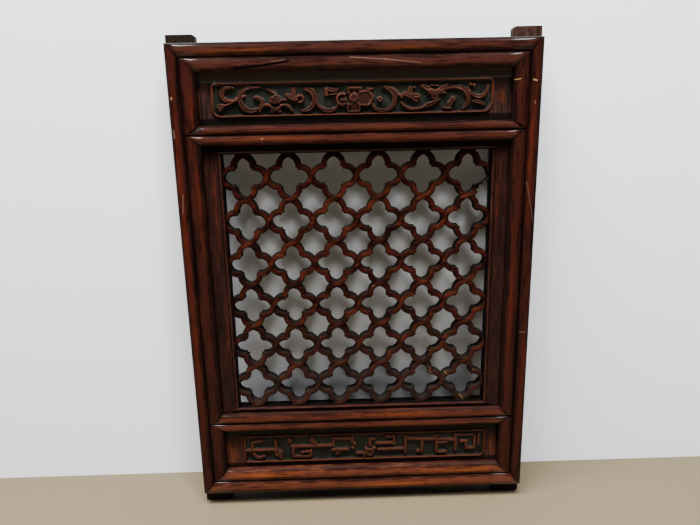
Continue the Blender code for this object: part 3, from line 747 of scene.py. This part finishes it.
def welded(piece, cap=False):
    """Merge doubled corners, close the open ends if asked, and turn every face out."""
    edit(piece)
    bpy.ops.mesh.remove_doubles(threshold=HAIR)
    if cap:
        bpy.ops.mesh.fill_holes(sides=0)
    bpy.ops.mesh.normals_make_consistent(inside=False)
    fresh()
    return piece


def long_strip():
    """A wavy strip along X that runs on past the opening, with crossings from the origin on."""
    strip = half_wave(STRIP, STRIP_FRONT, STRIP_BACK, FRONT_ROUND)
    strip.data.transform(Matrix.Translation((-SPACING / 2, 0, 0)))
    apply_modifier(strip, "MIRROR", use_mirror_merge=True, merge_threshold=HAIR)
    strip.data.transform(Matrix.Translation((SPACING / 2, 0, 0)))
    turned = copy(strip, Matrix.Rotation(math.pi, 4, "Y"))
    strip = welded(as_one([strip, turned]))
    apply_modifier(strip, "ARRAY", count=UNITS, use_relative_offset=False, use_constant_offset=True,
                   constant_offset_displace=(2 * SPACING, 0, 0), use_merge_vertices=True,
                   merge_threshold=HAIR)
    return welded(strip, cap=True)


def housed(strip, front, back):
    """Cut the housings for the crossing strips, in their own wavy shape, between two depths."""
    right = half_wave(STRIP + 2 * STRIP_GAP, front, back)
    crossing_strip = welded(as_one([right, copy(right, Matrix.Rotation(math.pi, 4, "Y"))]), cap=True)
    swapped = Matrix(((0, 0, 1, 0), (0, 1, 0, 0), (1, 0, 0, 0), (0, 0, 0, 1)))
    tools = []
    for crossing in range(2 * BLOSSOMS + 1):
        facing = Matrix.Diagonal(((-1) ** crossing, 1, 1, 1))
        tools.append(copy(crossing_strip, Matrix.Translation((crossing * SPACING, 0, 0)) @ swapped @ facing))
    bpy.data.objects.remove(crossing_strip, do_unlink=True)
    apply_cut(strip, tools)
    return strip


BROKEN_STRIP = 6
STUMP = 0.0195
SPLINTER = -0.0115


def break_off(strip):
    """Split the front off the upper right end of a strip, past a short stump with a ragged end."""
    crossing = Vector((LATTICE_X + (BLOSSOMS - 1) * PITCH / 2, LATTICE_Z + (BLOSSOMS / 2 - 1) * PITCH))
    along, across = Vector((1, 1)).normalized(), Vector((-1, 1)).normalized()
    ragged = [(STUMP + bite, share * 2 * STRIP) for bite, share in
              ((0.0, -1), (0.001, -0.5), (-0.002, -0.22), (0.0015, -0.05), (-0.001, 0.12), (0.002, 0.3),
               (-0.001, 0.5), (0.0, 1))]
    front_half = [(STUMP + PITCH, -2 * STRIP), *ragged, (STUMP + PITCH, 2 * STRIP)]
    sliver = [(0.0225, 0.002), (0.0283, -0.0002), (0.034, -0.003), (0.04, -0.0042), (0.048, -0.004),
              (0.06, -0.001)]
    upper_side = [*sliver, (0.06, 2 * STRIP), (0.0225, 2 * STRIP)]
    for outline, back in ((front_half, SPLINTER), (upper_side, FREE)):
        placed_outline = [crossing + along * a + across * b for a, b in outline]
        apply_cut(strip, [block(placed_outline, STRIP_FRONT - FREE, back)])


HALF_DEPTH = (STRIP_FRONT + STRIP_BACK) / 2
rising = housed(long_strip(), HALF_DEPTH - STRIP_GAP / 2, STRIP_BACK + FREE)
falling = housed(long_strip(), STRIP_FRONT - FREE, HALF_DEPTH + STRIP_GAP / 2)
strip_boxes = [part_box(f"lattice_rising_{number + 1:02d}") for number in range(2 * BLOSSOMS)]
lattice_low = Vector([min(low[axis] for low, high in strip_boxes) for axis in range(3)])
lattice_high = Vector([max(high[axis] for low, high in strip_boxes) for axis in range(3)])
# Depths from which the strips' sides and the housings behind their fronts take grime with painted shade, and
# at which their fronts are rubbed.
LATTICE_DEPTHS = {"Deep": -0.0176, "GrimeShadeFrom": -0.0206, "Proud": -0.02, "Crest": -0.0211, "Behind": 0.1}
RISING_LACQUER = tones((2, 0.9, 0.8), (7.8, 1.9, 1.2), (37, 7.4, 3.4))
FALLING_LACQUER = tones((1.8, 0.8, 0.8), (6, 1.4, 1), (24, 4.3, 2.5))
SPLIT_WOOD = (0.11, 0.06, 0.02, 1.0)
OLD_PUTTY = (0.36, 0.34, 0.3, 1)
GREY_WOOD = (0.085, 0.075, 0.068, 1)
CHIPS = [
    (126.8, -572, 140.6, -589.2, 1.8, 0.8, SPLIT_WOOD), (130, -570, 136, -575, 1.4, 0.7, SPLIT_WOOD),
    (160, -581.4, 173.8, -592.3, 1.6, 0.75, SPLIT_WOOD),
    (192.4, -631.1, 202.6, -644.3, 1.8, 0.7, SPLIT_WOOD),
    (218.4, -579, 219.2, -580.2, 2.4, 0.7, SPLIT_WOOD), (26, -406.3, 26.4, -406.8, 2.6, 0.7, SPLIT_WOOD),
    (-120.5, -311.5, -120.3, -311.7, 2.2, 0.9, OLD_PUTTY),
    (-201, -598, -196, -606, 2, 0.6, SPLIT_WOOD), (216, -232.5, 219.5, -233, 3, 0.6, SPLIT_WOOD),
    (229, -220, 240, -206, 2.2, 0.75, GREY_WOOD)]
for kind, master, mirrored, lacquer in (("rising", rising, 1, RISING_LACQUER),
                                        ("falling", falling, -1, FALLING_LACQUER)):
    finish = lacquered("lattice_lacquer_" + kind, False, lacquer, LATTICE_DEPTHS, CHIPS, dust=0.3,
                       low_grime=(-0.7, -0.42))
    for number in range(2 * BLOSSOMS):
        crossing = Vector((number - 1.5 * BLOSSOMS + 0.5, 0, -0.5 * BLOSSOMS)) * PITCH
        leaning = Matrix.Translation(crossing) @ Matrix.Rotation(-math.pi / 4, 4, "Y")
        in_place = Matrix.Translation((LATTICE_X, 0, LATTICE_Z)) @ Matrix.Diagonal((mirrored, 1, 1, 1))
        piece = copy(master, in_place @ leaning)
        for point, normal in ((lattice_low, (-1, 0, 0)), (lattice_low, (0, 0, -1)),
                              (lattice_high, (1, 0, 0)), (lattice_high, (0, 0, 1))):
            slice_off(piece, point, normal)
        if kind == "rising" and number == BROKEN_STRIP:
            break_off(piece)
        smooth(piece)
        settle(piece, f"strip_{kind}_{number + 1:02d}", finish, "lattice_lacquer",
               f"lattice_{kind}_{number + 1:02d}")
bpy.data.objects.remove(rising, do_unlink=True)
bpy.data.objects.remove(falling, do_unlink=True)


# The upper carved board: one plank under dark lacquer, with a long round-cornered border and a
# scrolling vine left standing on a sunk ground. The carver gouged the leaves hollow inside
# their rims.
BOARD_FACE = -0.0235
BOARD_BACK = -0.01
GROUND = -0.0208
RIDGE = -0.027
RELIEF = -0.0264
CELL = 0.00078
RING_MIDDLE = 2.2
RING_HALF = 2.3
SINKS_FROM = 3.2
SINKS_OVER = 1.2
WANDER = 0.45
VEIN_SPACING = 3.2
HOLLOW = 0.32


def through(points, steps=7):
    """A smooth line through points, as an array."""
    points = np.array(points, float)
    if len(points) == 2:
        return points
    ends = np.vstack([2 * points[0] - points[1], points, 2 * points[-1] - points[-2]])
    line = [points[0]]
    for a, b, c, d in zip(ends, ends[1:], ends[2:], ends[3:]):
        for step in range(1, steps + 1):
            t = step / steps
            line.append(0.5 * (2 * b + (c - a) * t + (2 * a - 5 * b + 4 * c - d) * t ** 2
                               + (3 * b - a - 3 * c + d) * t ** 3))
    return np.array(line)


def round_part(x, z, radius, start, end, squash=1.0, steps=14):
    """Part of a circle, in millimetres and degrees."""
    turn = np.radians(np.linspace(start, end, steps))
    return np.c_[x + radius * np.cos(turn), z + radius * squash * np.sin(turn)]


def carve(height, x, z, line, widths, tall=1.0, hollow=0.0, veins=0.0):
    """Raise a stroke that follows a line: steep sides, and a rounded or a hollowed top."""
    line = np.array(line, float)
    lengths = np.r_[0, np.cumsum(np.hypot(*np.diff(line, axis=0).T))]
    widths = np.interp(lengths / lengths[-1], np.linspace(0, 1, len(widths)), widths)
    reach = widths.max() / 2 + 1
    near = ((x > line[:, 0].min() - reach) & (x < line[:, 0].max() + reach)
            & (z > line[:, 1].min() - reach) & (z < line[:, 1].max() + reach))
    px, pz = x[near], z[near]
    best, along = np.full(px.shape, 9.0), np.zeros(px.shape)
    for n in range(len(line) - 1):
        a, run = line[n], line[n + 1] - line[n]
        t = np.clip(((px - a[0]) * run[0] + (pz - a[1]) * run[1]) / max(run @ run, 1e-9), 0, 1)
        away = np.hypot(px - a[0] - t * run[0], pz - a[1] - t * run[1])
        away /= (widths[n] + (widths[n + 1] - widths[n]) * t) / 2
        closer = away < best
        best = np.where(closer, away, best)
        along = np.where(closer, lengths[n] + t * (lengths[n + 1] - lengths[n]), along)
    side = np.clip((1.06 - best) / 0.26, 0, 1)
    side = side * side * (3 - 2 * side)
    crown = 0.8 + 0.2 * np.sqrt(np.clip(1 - best ** 2, 0, 1))
    dip = 1 - hollow * np.clip(1 - best / 0.68, 0, 1) ** 0.7
    cut = 1 - veins * (0.5 + 0.5 * np.cos(2 * np.pi * along / VEIN_SPACING)) ** 2 * np.clip(1.1 - best, 0, 1)
    height[near] = np.maximum(height[near], tall * side * crown * dip * cut)


def inside_border(x, z, size, radii):
    """How far inside a rounded border a place is; radii go round from the upper right."""
    upper_right, upper_left, lower_left, lower_right = radii
    radius = np.where(z > 0, np.where(x > 0, upper_right, upper_left),
                      np.where(x > 0, lower_right, lower_left))
    qx, qz = np.abs(x) - size[0] / 2 + radius, np.abs(z) - size[1] / 2 + radius
    return radius - np.minimum(np.maximum(qx, qz), 0) - np.hypot(np.maximum(qx, 0), np.maximum(qz, 0))


def softened(field, reach):
    """The average of a field over a square around each place."""
    for axis in (0, 1):
        total = sum(np.roll(field, shift, axis) for shift in range(-reach, reach + 1))
        field = total / (2 * reach + 1)
    return field


def clouds(x, z, size, seed):
    """Smooth noise over the board, between -1 and 1."""
    values = [noise.noise(Vector((a / size, b / size, seed))) for a, b in zip(x.flat, z.flat)]
    return np.array(values).reshape(x.shape)


def carved_board(node_name, ring, radii, centre, strokes, fuller):
    """A plank whose face is a fine grid, pushed back or left standing as the carving asks."""
    low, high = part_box(node_name)
    across, up = round((high.x - low.x) / CELL), round((high.z - low.z) / CELL)
    fresh()
    bpy.ops.mesh.primitive_grid_add(x_subdivisions=across, y_subdivisions=up, size=1)
    board = bpy.context.object
    grid = np.zeros(len(board.data.vertices) * 3)
    board.data.vertices.foreach_get("co", grid)
    grid = grid.reshape(-1, 3)
    shape = (up + 1, across + 1)
    x = (low.x + (grid[:, 0] + 0.5) * (high.x - low.x)).reshape(shape)
    z = (low.z + (grid[:, 1] + 0.5) * (high.z - low.z)).reshape(shape)
    mx, mz = (x - centre[0]) * 1000, (z - centre[1]) * 1000
    wander_x, wander_z = clouds(mx, mz, 9, 3.1) * WANDER, clouds(mx, mz, 9, 8.7) * WANDER
    height = np.zeros(shape)
    for each in strokes:
        broader = {**each, "widths": np.array(each["widths"], float) * fuller}
        carve(height, mx + wander_x, mz + wander_z, **broader)
    inside = inside_border(mx + wander_x, mz + wander_z, ring, radii)
    tooled = clouds(mx, mz, 3.2, 5.5) * 0.00012 + clouds(mx, mz, 14, 2.2) * 0.00022
    sunk = np.clip((inside - SINKS_FROM) / SINKS_OVER, 0, 1)
    face = BOARD_FACE + (GROUND - BOARD_FACE + tooled) * sunk
    crest = np.clip(1 - ((inside - RING_MIDDLE) / RING_HALF) ** 2, 0, 1) ** 0.6
    depth = face + (RIDGE - BOARD_FACE) * crest * (1 - sunk * 0.4)
    worn_tops = (RELIEF - GROUND) * (1 + clouds(mx, mz, 18, 6.4) * 0.09 - 0.05)
    depth = np.minimum(depth, GROUND + height * worn_tops + tooled)
    depth = softened(depth, 1) * 0.5 + depth * 0.5
    rim = -(depth - softened(depth, 4))
    depth[0], depth[-1], depth[:, 0], depth[:, -1] = [BOARD_FACE] * 4
    board.data.vertices.foreach_set("co", np.c_[x.ravel(), depth.ravel(), z.ravel()].ravel())
    for name, values in (("raised", height), ("rim", rim * 1000), ("inside", inside)):
        kept = board.data.attributes.new(name, "FLOAT", "POINT")
        kept.data.foreach_set("value", values.ravel().astype(np.float32))
    edit(board, "EDGE", lambda e: e.is_boundary)
    bpy.ops.mesh.extrude_region_move(TRANSFORM_OT_translate={"value": (0, BOARD_BACK - BOARD_FACE, 0)})
    bpy.ops.mesh.edge_face_add()
    bpy.ops.mesh.select_all(action="SELECT")
    bpy.ops.mesh.normals_make_consistent(inside=False)
    smooth(board, degrees=60)
    return board


def stroke(widths, line, **options):
    """One stroke of a carving, in millimetres from the middle of its border."""
    return {"line": line, "widths": widths, **options}


def stem(widths, *points, **options):
    """A stroke that runs smoothly through some points, given as x, z, x, z and so on."""
    return stroke(widths, through(np.reshape(points, (-1, 2))), **options)


def leaf(widths, *points, **options):
    """A smooth stroke gouged hollow."""
    return stem(widths, *points, hollow=HOLLOW, **options)


def curl(widths, *circle, **options):
    """A stroke round part of a circle."""
    return stroke(widths, round_part(*circle), **options)


def vine():
    """A vine with scrolls, trefoils, a half lotus and a winged bud round a middle flower."""
    left_end = [
        stem((3, 5, 6), -203, 20, -210, 21.5, -217, 20),
        curl((4, 7, 8, 6, 4), -213, 10, 11, 70, 290, hollow=HOLLOW),
        stem((4, 4, 3), -212, -1, -206, -1.5, -200, 1), stem((6, 6), -200.5, 0.5, -199.5, 1),
        stem((3, 4, 4, 3), -200, 0, -209, -5, -217, -8, -224, -9),
        leaf((4, 7, 4), -222, -8, -229, -10, -232, -12), stem((5, 6, 3), -224, -12, -228, -16, -231, -17),
    ]
    big_scroll = [
        curl((4, 6, 7.5, 8, 7, 5), -174, 1, 19.5, 82, 300, hollow=HOLLOW),
        stem((5, 5), -186.5, 5.5, -185.5, 6), stem((4, 2.5), -171, 20, -157, 20.5),
        stem((6.5, 6.5), -166.5, 3.5, -165, 3.5),
        leaf((5, 6, 6.5, 5, 3), -166, 3, -158, 1, -155, -5, -160, -12, -164, -17),
        stem((2, 5, 3), -146, 17, -140, 14, -131, 8, tall=0.7),
    ]
    lotus = [
        stem((4, 5, 5, 4), -160.5, -20, -157, -12, -150, -9, -143, -9),
        stem((4, 4, 3), -145, -10, -140, -13, -137, -16),
        stem((4, 5, 5, 4), -105, -20, -110, -12.5, -117, -9.5, -124, -9.5),
        stem((4, 4, 3), -122, -10, -126, -13, -129, -16),
        curl((6, 7, 6), -133, -3, 7.5, 5, 175, 0.95, hollow=HOLLOW),
        stem((8, 8), -138, -3.5, -128, -3.5, tall=0.8), stem((4, 4), -137.7, 3, -137.2, 3, tall=1.05),
        leaf((5, 6, 6, 5), -140, -20, -136, -16.5, -130, -16.5, -126, -20),
        stem((2.6, 2.6), -123, -1.5, -115, -1, tall=0.8),
    ]
    first_leaf = [
        leaf((9, 8, 7, 5), -103, 3, -102, 9, -101.5, 17), leaf((7, 7, 4), -101, 1, -108, 4, -113, 7.5),
        curl((4, 4.5, 4.5), -91, 0, 5.6, 150, -100), stem((6, 6), -104, 0, -97, -1),
        leaf((4, 8, 8, 7.5, 6, 3), -82, 16, -73, 14, -66.5, 6, -66, -4, -71, -13, -80, -19, -88, -20),
        stem((2, 3, 3), -70, 17, -66, 12, -63.5, 6),
        leaf((3, 4, 5, 6.5, 6.5, 5, 3), -62.5, 2, -62, -7, -57, -14, -48, -19.5, -39, -20.5, -31, -17, -27,
             -12),
        stem((5.5, 6.5), -45, 14.5, -45.5, 6), leaf((6, 6.5, 5), -43, 15.5, -34, 13.5, -27, 14),
        stem((2, 2.6, 2), -40, 6, -33, 6.5, -27, 8),
    ]
    middle_flower = [
        curl((4, 5, 5, 5, 4), -18.5, -2, 9.2, 60, 300), stem((7, 7), -19, -3, -14, -3, tall=0.6),
        curl((5.6, 5.6), 1.5, 0, 5.6, 0, 360), stem((7, 7), 1.5, 0, 1.6, 0, tall=0.86),
        leaf((6, 5), -7.5, 14.5, -7, 9), stem((4.4, 4.4), -6, 16.5, 11, 16.5),
        leaf((6, 5), 12.5, 15.5, 12, 9), stem((6, 6), 2.5, 12.5, 2.5, 9, tall=0.7),
        stem((3.4, 4, 4, 4, 3.4), 14, 9.5, 24, 10.5, 31, 6, 33, -2, 30, -9, 24, -12.5, 14, -12),
        stem((20, 15), 13, -1.5, 29, -1.5, tall=0.78, veins=0.5),
        stem((4, 4, 4), -8, -10, -8.5, -20, -4, -23, 3, -23, 10, -22, 11, -16, 9, -9),
        stem((11, 12), 1, -12, 1.5, -18, tall=0.74), stem((5, 5), -5.5, -11, -5, -11, tall=1.03),
        stem((4, 5, 3), 26, 14.5, 30, 13.5, 34, 14.5),
    ]
    second_leaf = [
        leaf((4, 7, 7.5, 7.5, 6, 4), 54, 17, 64, 12.5, 70, 6, 72, -4, 69, -14, 61, -22),
        leaf((4, 5, 5.5, 5, 4), 34, -11, 37, -18, 45, -21.5, 54, -22, 61, -20),
        curl((3.4, 3.4), 46, -3, 3.2, 0, 360), stem((3, 3), 46, -3, 46.2, -3, tall=0.6),
        stem((3, 7, 3), 66, 16, 73, 9.5, 82, 1, veins=0.55), leaf((9, 9, 8, 5), 99, 2, 98.5, 9, 99, 14.5),
        leaf((7, 6, 5, 4), 97, 1, 90, 5.5, 84.5, 3, 84, -1), leaf((7, 7, 5), 101, 2, 108, 2, 113.5, 0.5),
        leaf((7, 7, 4), 101, 0, 107, -4.5, 110.5, -7.5), stem((4, 4), 106, 15, 106.4, 15),
        stem((2.5, 4, 5, 5, 4, 3), 82, -9, 88, -15, 96, -19.5, 106, -20.5, 116, -19, 124, -16),
    ]
    bud = [
        leaf((3, 7, 8, 6), 117, 18.5, 123, 16, 131, 11.5, 135, 9),
        stem((9, 11, 9), 134, 8.5, 141, 5.5, 147, 8.5, tall=1.05),
        leaf((7, 8, 4), 147, 9, 154, 12.5, 162, 19), stem((3, 3), 134, 17.5, 147, 17.5, tall=0.75),
        stem((12, 12), 141, 0, 141.6, 0, tall=0.9, hollow=0.2), stem((3, 3), 137.5, -9, 137.7, -9),
        stem((3, 3), 133.5, -10.5, 133.7, -10.5), stem((3, 3), 141.5, -8.5, 141.7, -8.5),
        stem((3, 7, 7, 3), 121, -18, 132, -13, 141, -10, 150, -5, veins=0.55),
        stem((3, 5, 2), 152, 5, 157, 6, 161, 4, tall=0.8),
    ]
    right_end = [
        leaf((3, 4, 5.5, 6.5, 7.5, 7.5, 6, 3), 161, 12, 170, 14.5, 180, 14.5, 190, 11, 197, 3, 199, -8,
             196, -16, 190, -22),
        stem((7.5, 7.5), 172.5, -5.5, 173.5, -6, hollow=0.3),
        stem((7, 9, 7), 171, -8, 167, -13, 166, -19, hollow=0.2),
        stem((5, 4, 3), 169, -21, 162, -20.5, 156, -19.5), stem((5, 5), 201.5, 19, 202.5, 18.5),
        stem((5, 5), 208, 17.5, 208.5, 16.5),
        leaf((3, 5, 5.5, 6, 5, 4, 2.5), 199, 11, 202, 5, 209, 1, 217, -2, 226, 1, 231, 8, 233, 17),
        leaf((3, 6, 6, 3), 207, -9, 213, -9.5, 219, -11.5, 227, -15),
        stem((3, 2.5), 204, 4, 197, 14, tall=0.7),
    ]
    return left_end + big_scroll + lotus + first_leaf + middle_flower + second_leaf + bud + right_end


GROUND_TONES = ((0.007, 0.0075, 0.0061, 1), (0.015, 0.0157, 0.013, 1))
RUBBED_RIM = (0.044, 0.0126, 0.0066, 1)
RUBBED_RING = (0.05, 0.0136, 0.006, 1)
FIELD_HALF = 0.027
EDGE_START, EDGE_END = 0.0275, 0.0315


def carved_finish(name, middle, field, above, below, body, coat, marks=()):
    """Dark lacquer on carving: green-black in the ground, red on the sides, rubbed on the rims.

    The plain field round the border has its own tones, and others above and below the border; the one above
    is painted light on the upper board and a painted shadow on the lower one.
    """
    material, tree, shader = new_material(name)
    here = node("TexCoord", {}, tree).outputs["Object"]
    raised, rim, inside = [node("Attribute", {}, tree, attribute_name=kept).outputs["Fac"]
                           for kept in ("raised", "rim", "inside")]
    brushed = node("Mapping", {"Vector": here, "Rotation": (0.0, math.pi / 2, 0.0)}).outputs[0]
    grain = placed(OLD_LACQUER, {"Vector": brushed, **field})
    mottle = noise_of(here, 70.0, 4.0, 0.65)
    height = coordinate(here, "Z")
    plain_field = marked(here, grain["Color"], marks)
    # Above the border the field takes the tone given for it, which is painted light on the upper board and a
    # painted shadow on the lower one.
    plain_field = blend(ramp(height, middle + EDGE_START, middle + EDGE_END), plain_field, above)
    plain_field = blend(ramp(height, middle - EDGE_START, middle - EDGE_END), plain_field, below)
    ground = blend(ramp(mottle, 0.35, 0.65), *GROUND_TONES)
    colour = blend(ramp(inside, 2.6, 4.2), plain_field, ground)
    colour = blend(ramp(raised, 0.25, 0.7), colour, blend(mottle, *body))
    rubbed = sum_of("MULTIPLY", ramp(rim, 0.35, 1.2), ramp(mottle, 0.3, 0.62, 0.25, 1.0))
    colour = blend(rubbed, colour, RUBBED_RIM)
    off_ring = sum_of("ABSOLUTE", sum_of("SUBTRACT", inside, RING_MIDDLE))
    colour = blend(ramp(off_ring, 2.0, 1.0, 0.0, 0.85), colour, RUBBED_RING)
    # Painted light and shade inside the border: the colour is painted lighter towards the top, where the
    # rail above casts its shadow, and darker towards the bottom.
    painted_light_and_shade = gained(colour, ramp(height, middle - FIELD_HALF, middle + FIELD_HALF, 0.5, 1.7))
    colour = blend(ramp(inside, 0.0, 0.8), colour, painted_light_and_shade)
    relief = sum_of("MULTIPLY_ADD", noise_of(here, 420.0), 0.6, grain["Height"])
    roughness = ramp(mottle, 0.3, 0.7, 0.32, 0.5)
    finish_off(shader, colour, roughness, relief, coat, relief_depth=0.0003, specular=0.1,
               coat_roughness=0.14)
    return material


UPPER_FIELD = tones((5.4, 3.4, 2.9), (18.5, 8.3, 6.7), (56, 20, 11.5))
GLOW = (0.052, 0.013, 0.0046, 1)
UPPER_MARKS = [
    (253, -60, 254.2, -80, 9.5, 0.25, GLOW), (253, -63, 254, -77, 6.5, 0.3, GLOW),
    (253.2, -66, 253.8, -74, 3.5, 0.4, GLOW), (243, -64, 243.6, -76, 5, 0.3, GLOW),
    (161, -39.5, 232, -39.2, 1.5, 0.6, (0.085, 0.055, 0.034, 1))]
UPPER_BODY = ((0.0105, 0.0044, 0.0036, 1), (0.027, 0.0085, 0.0053, 1))
UPPER_MIDDLE = -0.069
# The field above the border is painted light grey: painted light, greyed with dust, that makes up for the
# top rail's shadow over it.
upper_finish = carved_finish("carved_lacquer_upper", UPPER_MIDDLE, UPPER_FIELD, (0.062, 0.049, 0.043, 1),
                             (0.0034, 0.0021, 0.0015, 1), UPPER_BODY, 0.3, UPPER_MARKS)
board = carved_board("carved_board_upper", (484.8, 58.5), (8, 10, 14, 20), (-0.005, UPPER_MIDDLE), vine(),
                     fuller=1.18)
settle(board, "board_upper_vine", upper_finish, "carved_lacquer", "carved_board_upper")


# The lower carved board: a second lacquered plank, with the same border but squarer corners,
# round broken key frets whose strokes are square-turned and smooth on top.
def frets():
    """Key frets with hooked ends, and a few small knobs between them."""
    runs = [
        (4.8, -233, -2.5, -175, -2.5), (4.2, -223, -2, -223, 15, -207, 17, -202, 18),
        (5.5, -221, -10, -216, -18, -209, -20, -202, -17), (4.8, -177, 18.5, -177, -15, -170, -15),
        (7.5, -168, -8.5, -168, -20), (8, -149.5, 16.5, -148.5, 16.5), (5.6, -145, 3.5, -69, 3.5),
        (4.8, -143, 3, -143, -19.5, -110, -19.5), (5, -117, -8.5, -115, -8.5),
        (5, -125, -10.5, -123, -10.5), (6, -108, -6.5, -108, -18), (7, -105, 18.5, -103, 12, -99, 11),
        (5, -97, 7.5, -96.5, 7.5), (4.8, -63, 1, -63, 17.5, -23, 17.5), (7, -25, 20, -25, 12),
        (5.5, -64, -6.5, -35, -6.5), (4.2, -57, -16, -51, -11.5), (5, -21.5, 5.5, -20.5, 5.5),
        (5, -24.5, -3.5, -23.5, -3.5), (4.8, -15, -15.5, -2, -15.5, -2, -24), (6, 2, -6.5, 2.5, -6.5),
        (4.8, 10, 1, 10, 14, 19, 14.5), (6, 18, -5.5, 18.5, -5.5), (5, 23, 5.5, 58, 5.5),
        (4.8, 58, 2, 58, 18.5, 43, 19.5), (5, 27, -8.5, 79, -8.5), (5.2, 81, 20, 81, -17),
        (5.4, 85, 13.5, 130, 11, 177, 8.5), (7, 143.5, 17.5, 144.5, 17.5), (4.8, 114, 8.5, 114, -17),
        (7, 106, -15.5, 106.5, -15.5), (5, 143, 5, 143, -17.5), (4.4, 143, -18, 162, -18.5),
        (3.4, 163, 3, 147, 3), (5, 181, 18, 181, -16), (5, 179, 18.5, 191, 18.5),
        (2.6, 191, 18.5, 217, 18), (5, 192, 4.5, 202, 4.5), (4.6, 202, 5, 202, -11.5, 219, -11.5),
        (4.6, 219, -12, 219, 14), (4, 227, 20, 227, -3),
    ]
    strokes = [stroke((width, width), np.reshape(line, (-1, 2))) for width, *line in runs]
    return strokes + [curl((5, 5), 9, -14.5, 6.4, 0, 360), stem((5, 5), 9, -14.5, 9.2, -14.5, tall=0.6)]


LOWER_FIELD = tones((13, 4.8, 3.8), (30, 9.2, 6.2), (66, 17.5, 9.2))
LOWER_GLOW = (0.066, 0.0165, 0.0056, 1)
LOWER_MARKS = [
    (-264, -723, -256, -748, 8.5, 0.4, LOWER_GLOW), (-260, -726, -250, -750, 5, 0.3, LOWER_GLOW),
    (257, -721, 258.4, -756, 5, 0.45, LOWER_GLOW), (257.2, -724, 258.2, -753, 3, 0.35, LOWER_GLOW)]
LOWER_BODY = ((0.017, 0.0066, 0.0046, 1), (0.047, 0.0142, 0.0072, 1))
LOWER_MIDDLE = -0.736
# The field above the border is painted nearly black: a painted shadow under the rail above it.
lower_finish = carved_finish("carved_lacquer_lower", LOWER_MIDDLE, LOWER_FIELD, (0.005, 0.0032, 0.0024, 1),
                             (0.006, 0.003, 0.002, 1), LOWER_BODY, 0.1, LOWER_MARKS)
board = carved_board("carved_board_lower", (480, 59.4), (5, 5, 4, 13), (0.0058, LOWER_MIDDLE), frets(),
                     fuller=1.42)
settle(board, "board_lower_frets", lower_finish, "carved_lacquer", "carved_board_lower")


# The studio: a pale floor under the feet, a pale wall that the panel leans back to, soft light
# from above and in front, and the camera.
def plain(name, colour):
    """A plain matt surface for the surroundings, seen from its front alone."""
    material, tree, shader = new_material(name)
    shader.inputs["Base Color"].default_value = (*colour, 1)
    shader.inputs["Roughness"].default_value = 0.8
    clear = node("BsdfTransparent", {}, tree).outputs[0]
    from_behind = node("NewGeometry", {}, tree).outputs["Backfacing"]
    seen = node("MixShader", {0: from_behind, 1: shader.outputs[0], 2: clear})
    feed(tree.nodes["Material Output"].inputs["Surface"], seen.outputs[0])
    return material


def backdrop(name, place, turn, colour):
    """A broad plain surface, turned about an axis that runs across the panel."""
    fresh()
    bpy.ops.mesh.primitive_plane_add(size=6, location=place, rotation=(turn, 0, 0))
    surface = bpy.context.object
    surface.name = name
    surface.data.materials.append(plain("pale_" + name, colour))
    return surface


LEAN = math.radians(3.6)
WALL_GAP = 0.015
WALL_MIDDLE = -0.4
WALL_RISE = 0.44
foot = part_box("stile_left")[0].z
floor = backdrop("floor", (0, -1.0, foot - math.sin(LEAN)), LEAN, (0.08, 0.063, 0.0385))
wall = backdrop("wall", (0, WALL_GAP + WALL_RISE * math.tan(LEAN), WALL_MIDDLE), math.pi / 2 + LEAN,
                (0.8, 0.825, 0.865))

camera = bpy.data.objects.new("camera", bpy.data.cameras.new("camera"))
bpy.context.collection.objects.link(camera)
bpy.context.scene.camera = camera
camera.data.lens, camera.data.sensor_width = 29.11, 36
stand = (-0.0332, -1.0341, -0.1143)
right, forward = Vector((0.99954, -0.02203, -0.02071)), Vector((0.01654, 0.9717, -0.23566))
axes = Matrix((right, right.cross(forward), -forward)).transposed()
camera.matrix_world = Matrix.Translation(stand) @ axes.to_4x4()


def softbox(name, place, size, power):
    """A rectangular studio light that looks at the middle of the panel."""
    light = bpy.data.objects.new(name, bpy.data.lights.new(name, "AREA"))
    bpy.context.collection.objects.link(light)
    light.data.shape = "RECTANGLE"
    light.data.size, light.data.size_y = size
    light.data.energy = power
    light.location = place
    aim = Vector((0, 0, WALL_MIDDLE)) - light.location
    light.rotation_euler = aim.to_track_quat("-Z", "Y").to_euler()
    return light


softbox("left key", (-1.12, -1.6, 1.96), (0.5, 0.5), 42)
softbox("right key", (1.15, -1.6, 2.00), (0.5, 0.5), 27)
softbox("ceiling", (-0.4, -1.15, 3.4), (3.6, 0.5), 1440).visible_glossy = False
world = bpy.data.worlds.new("studio")
bpy.context.scene.world = world
world.use_nodes = True
sky = world.node_tree.nodes["Background"].inputs
sky["Color"].default_value, sky["Strength"].default_value = (0.92, 0.96, 1.0, 1), 0.07
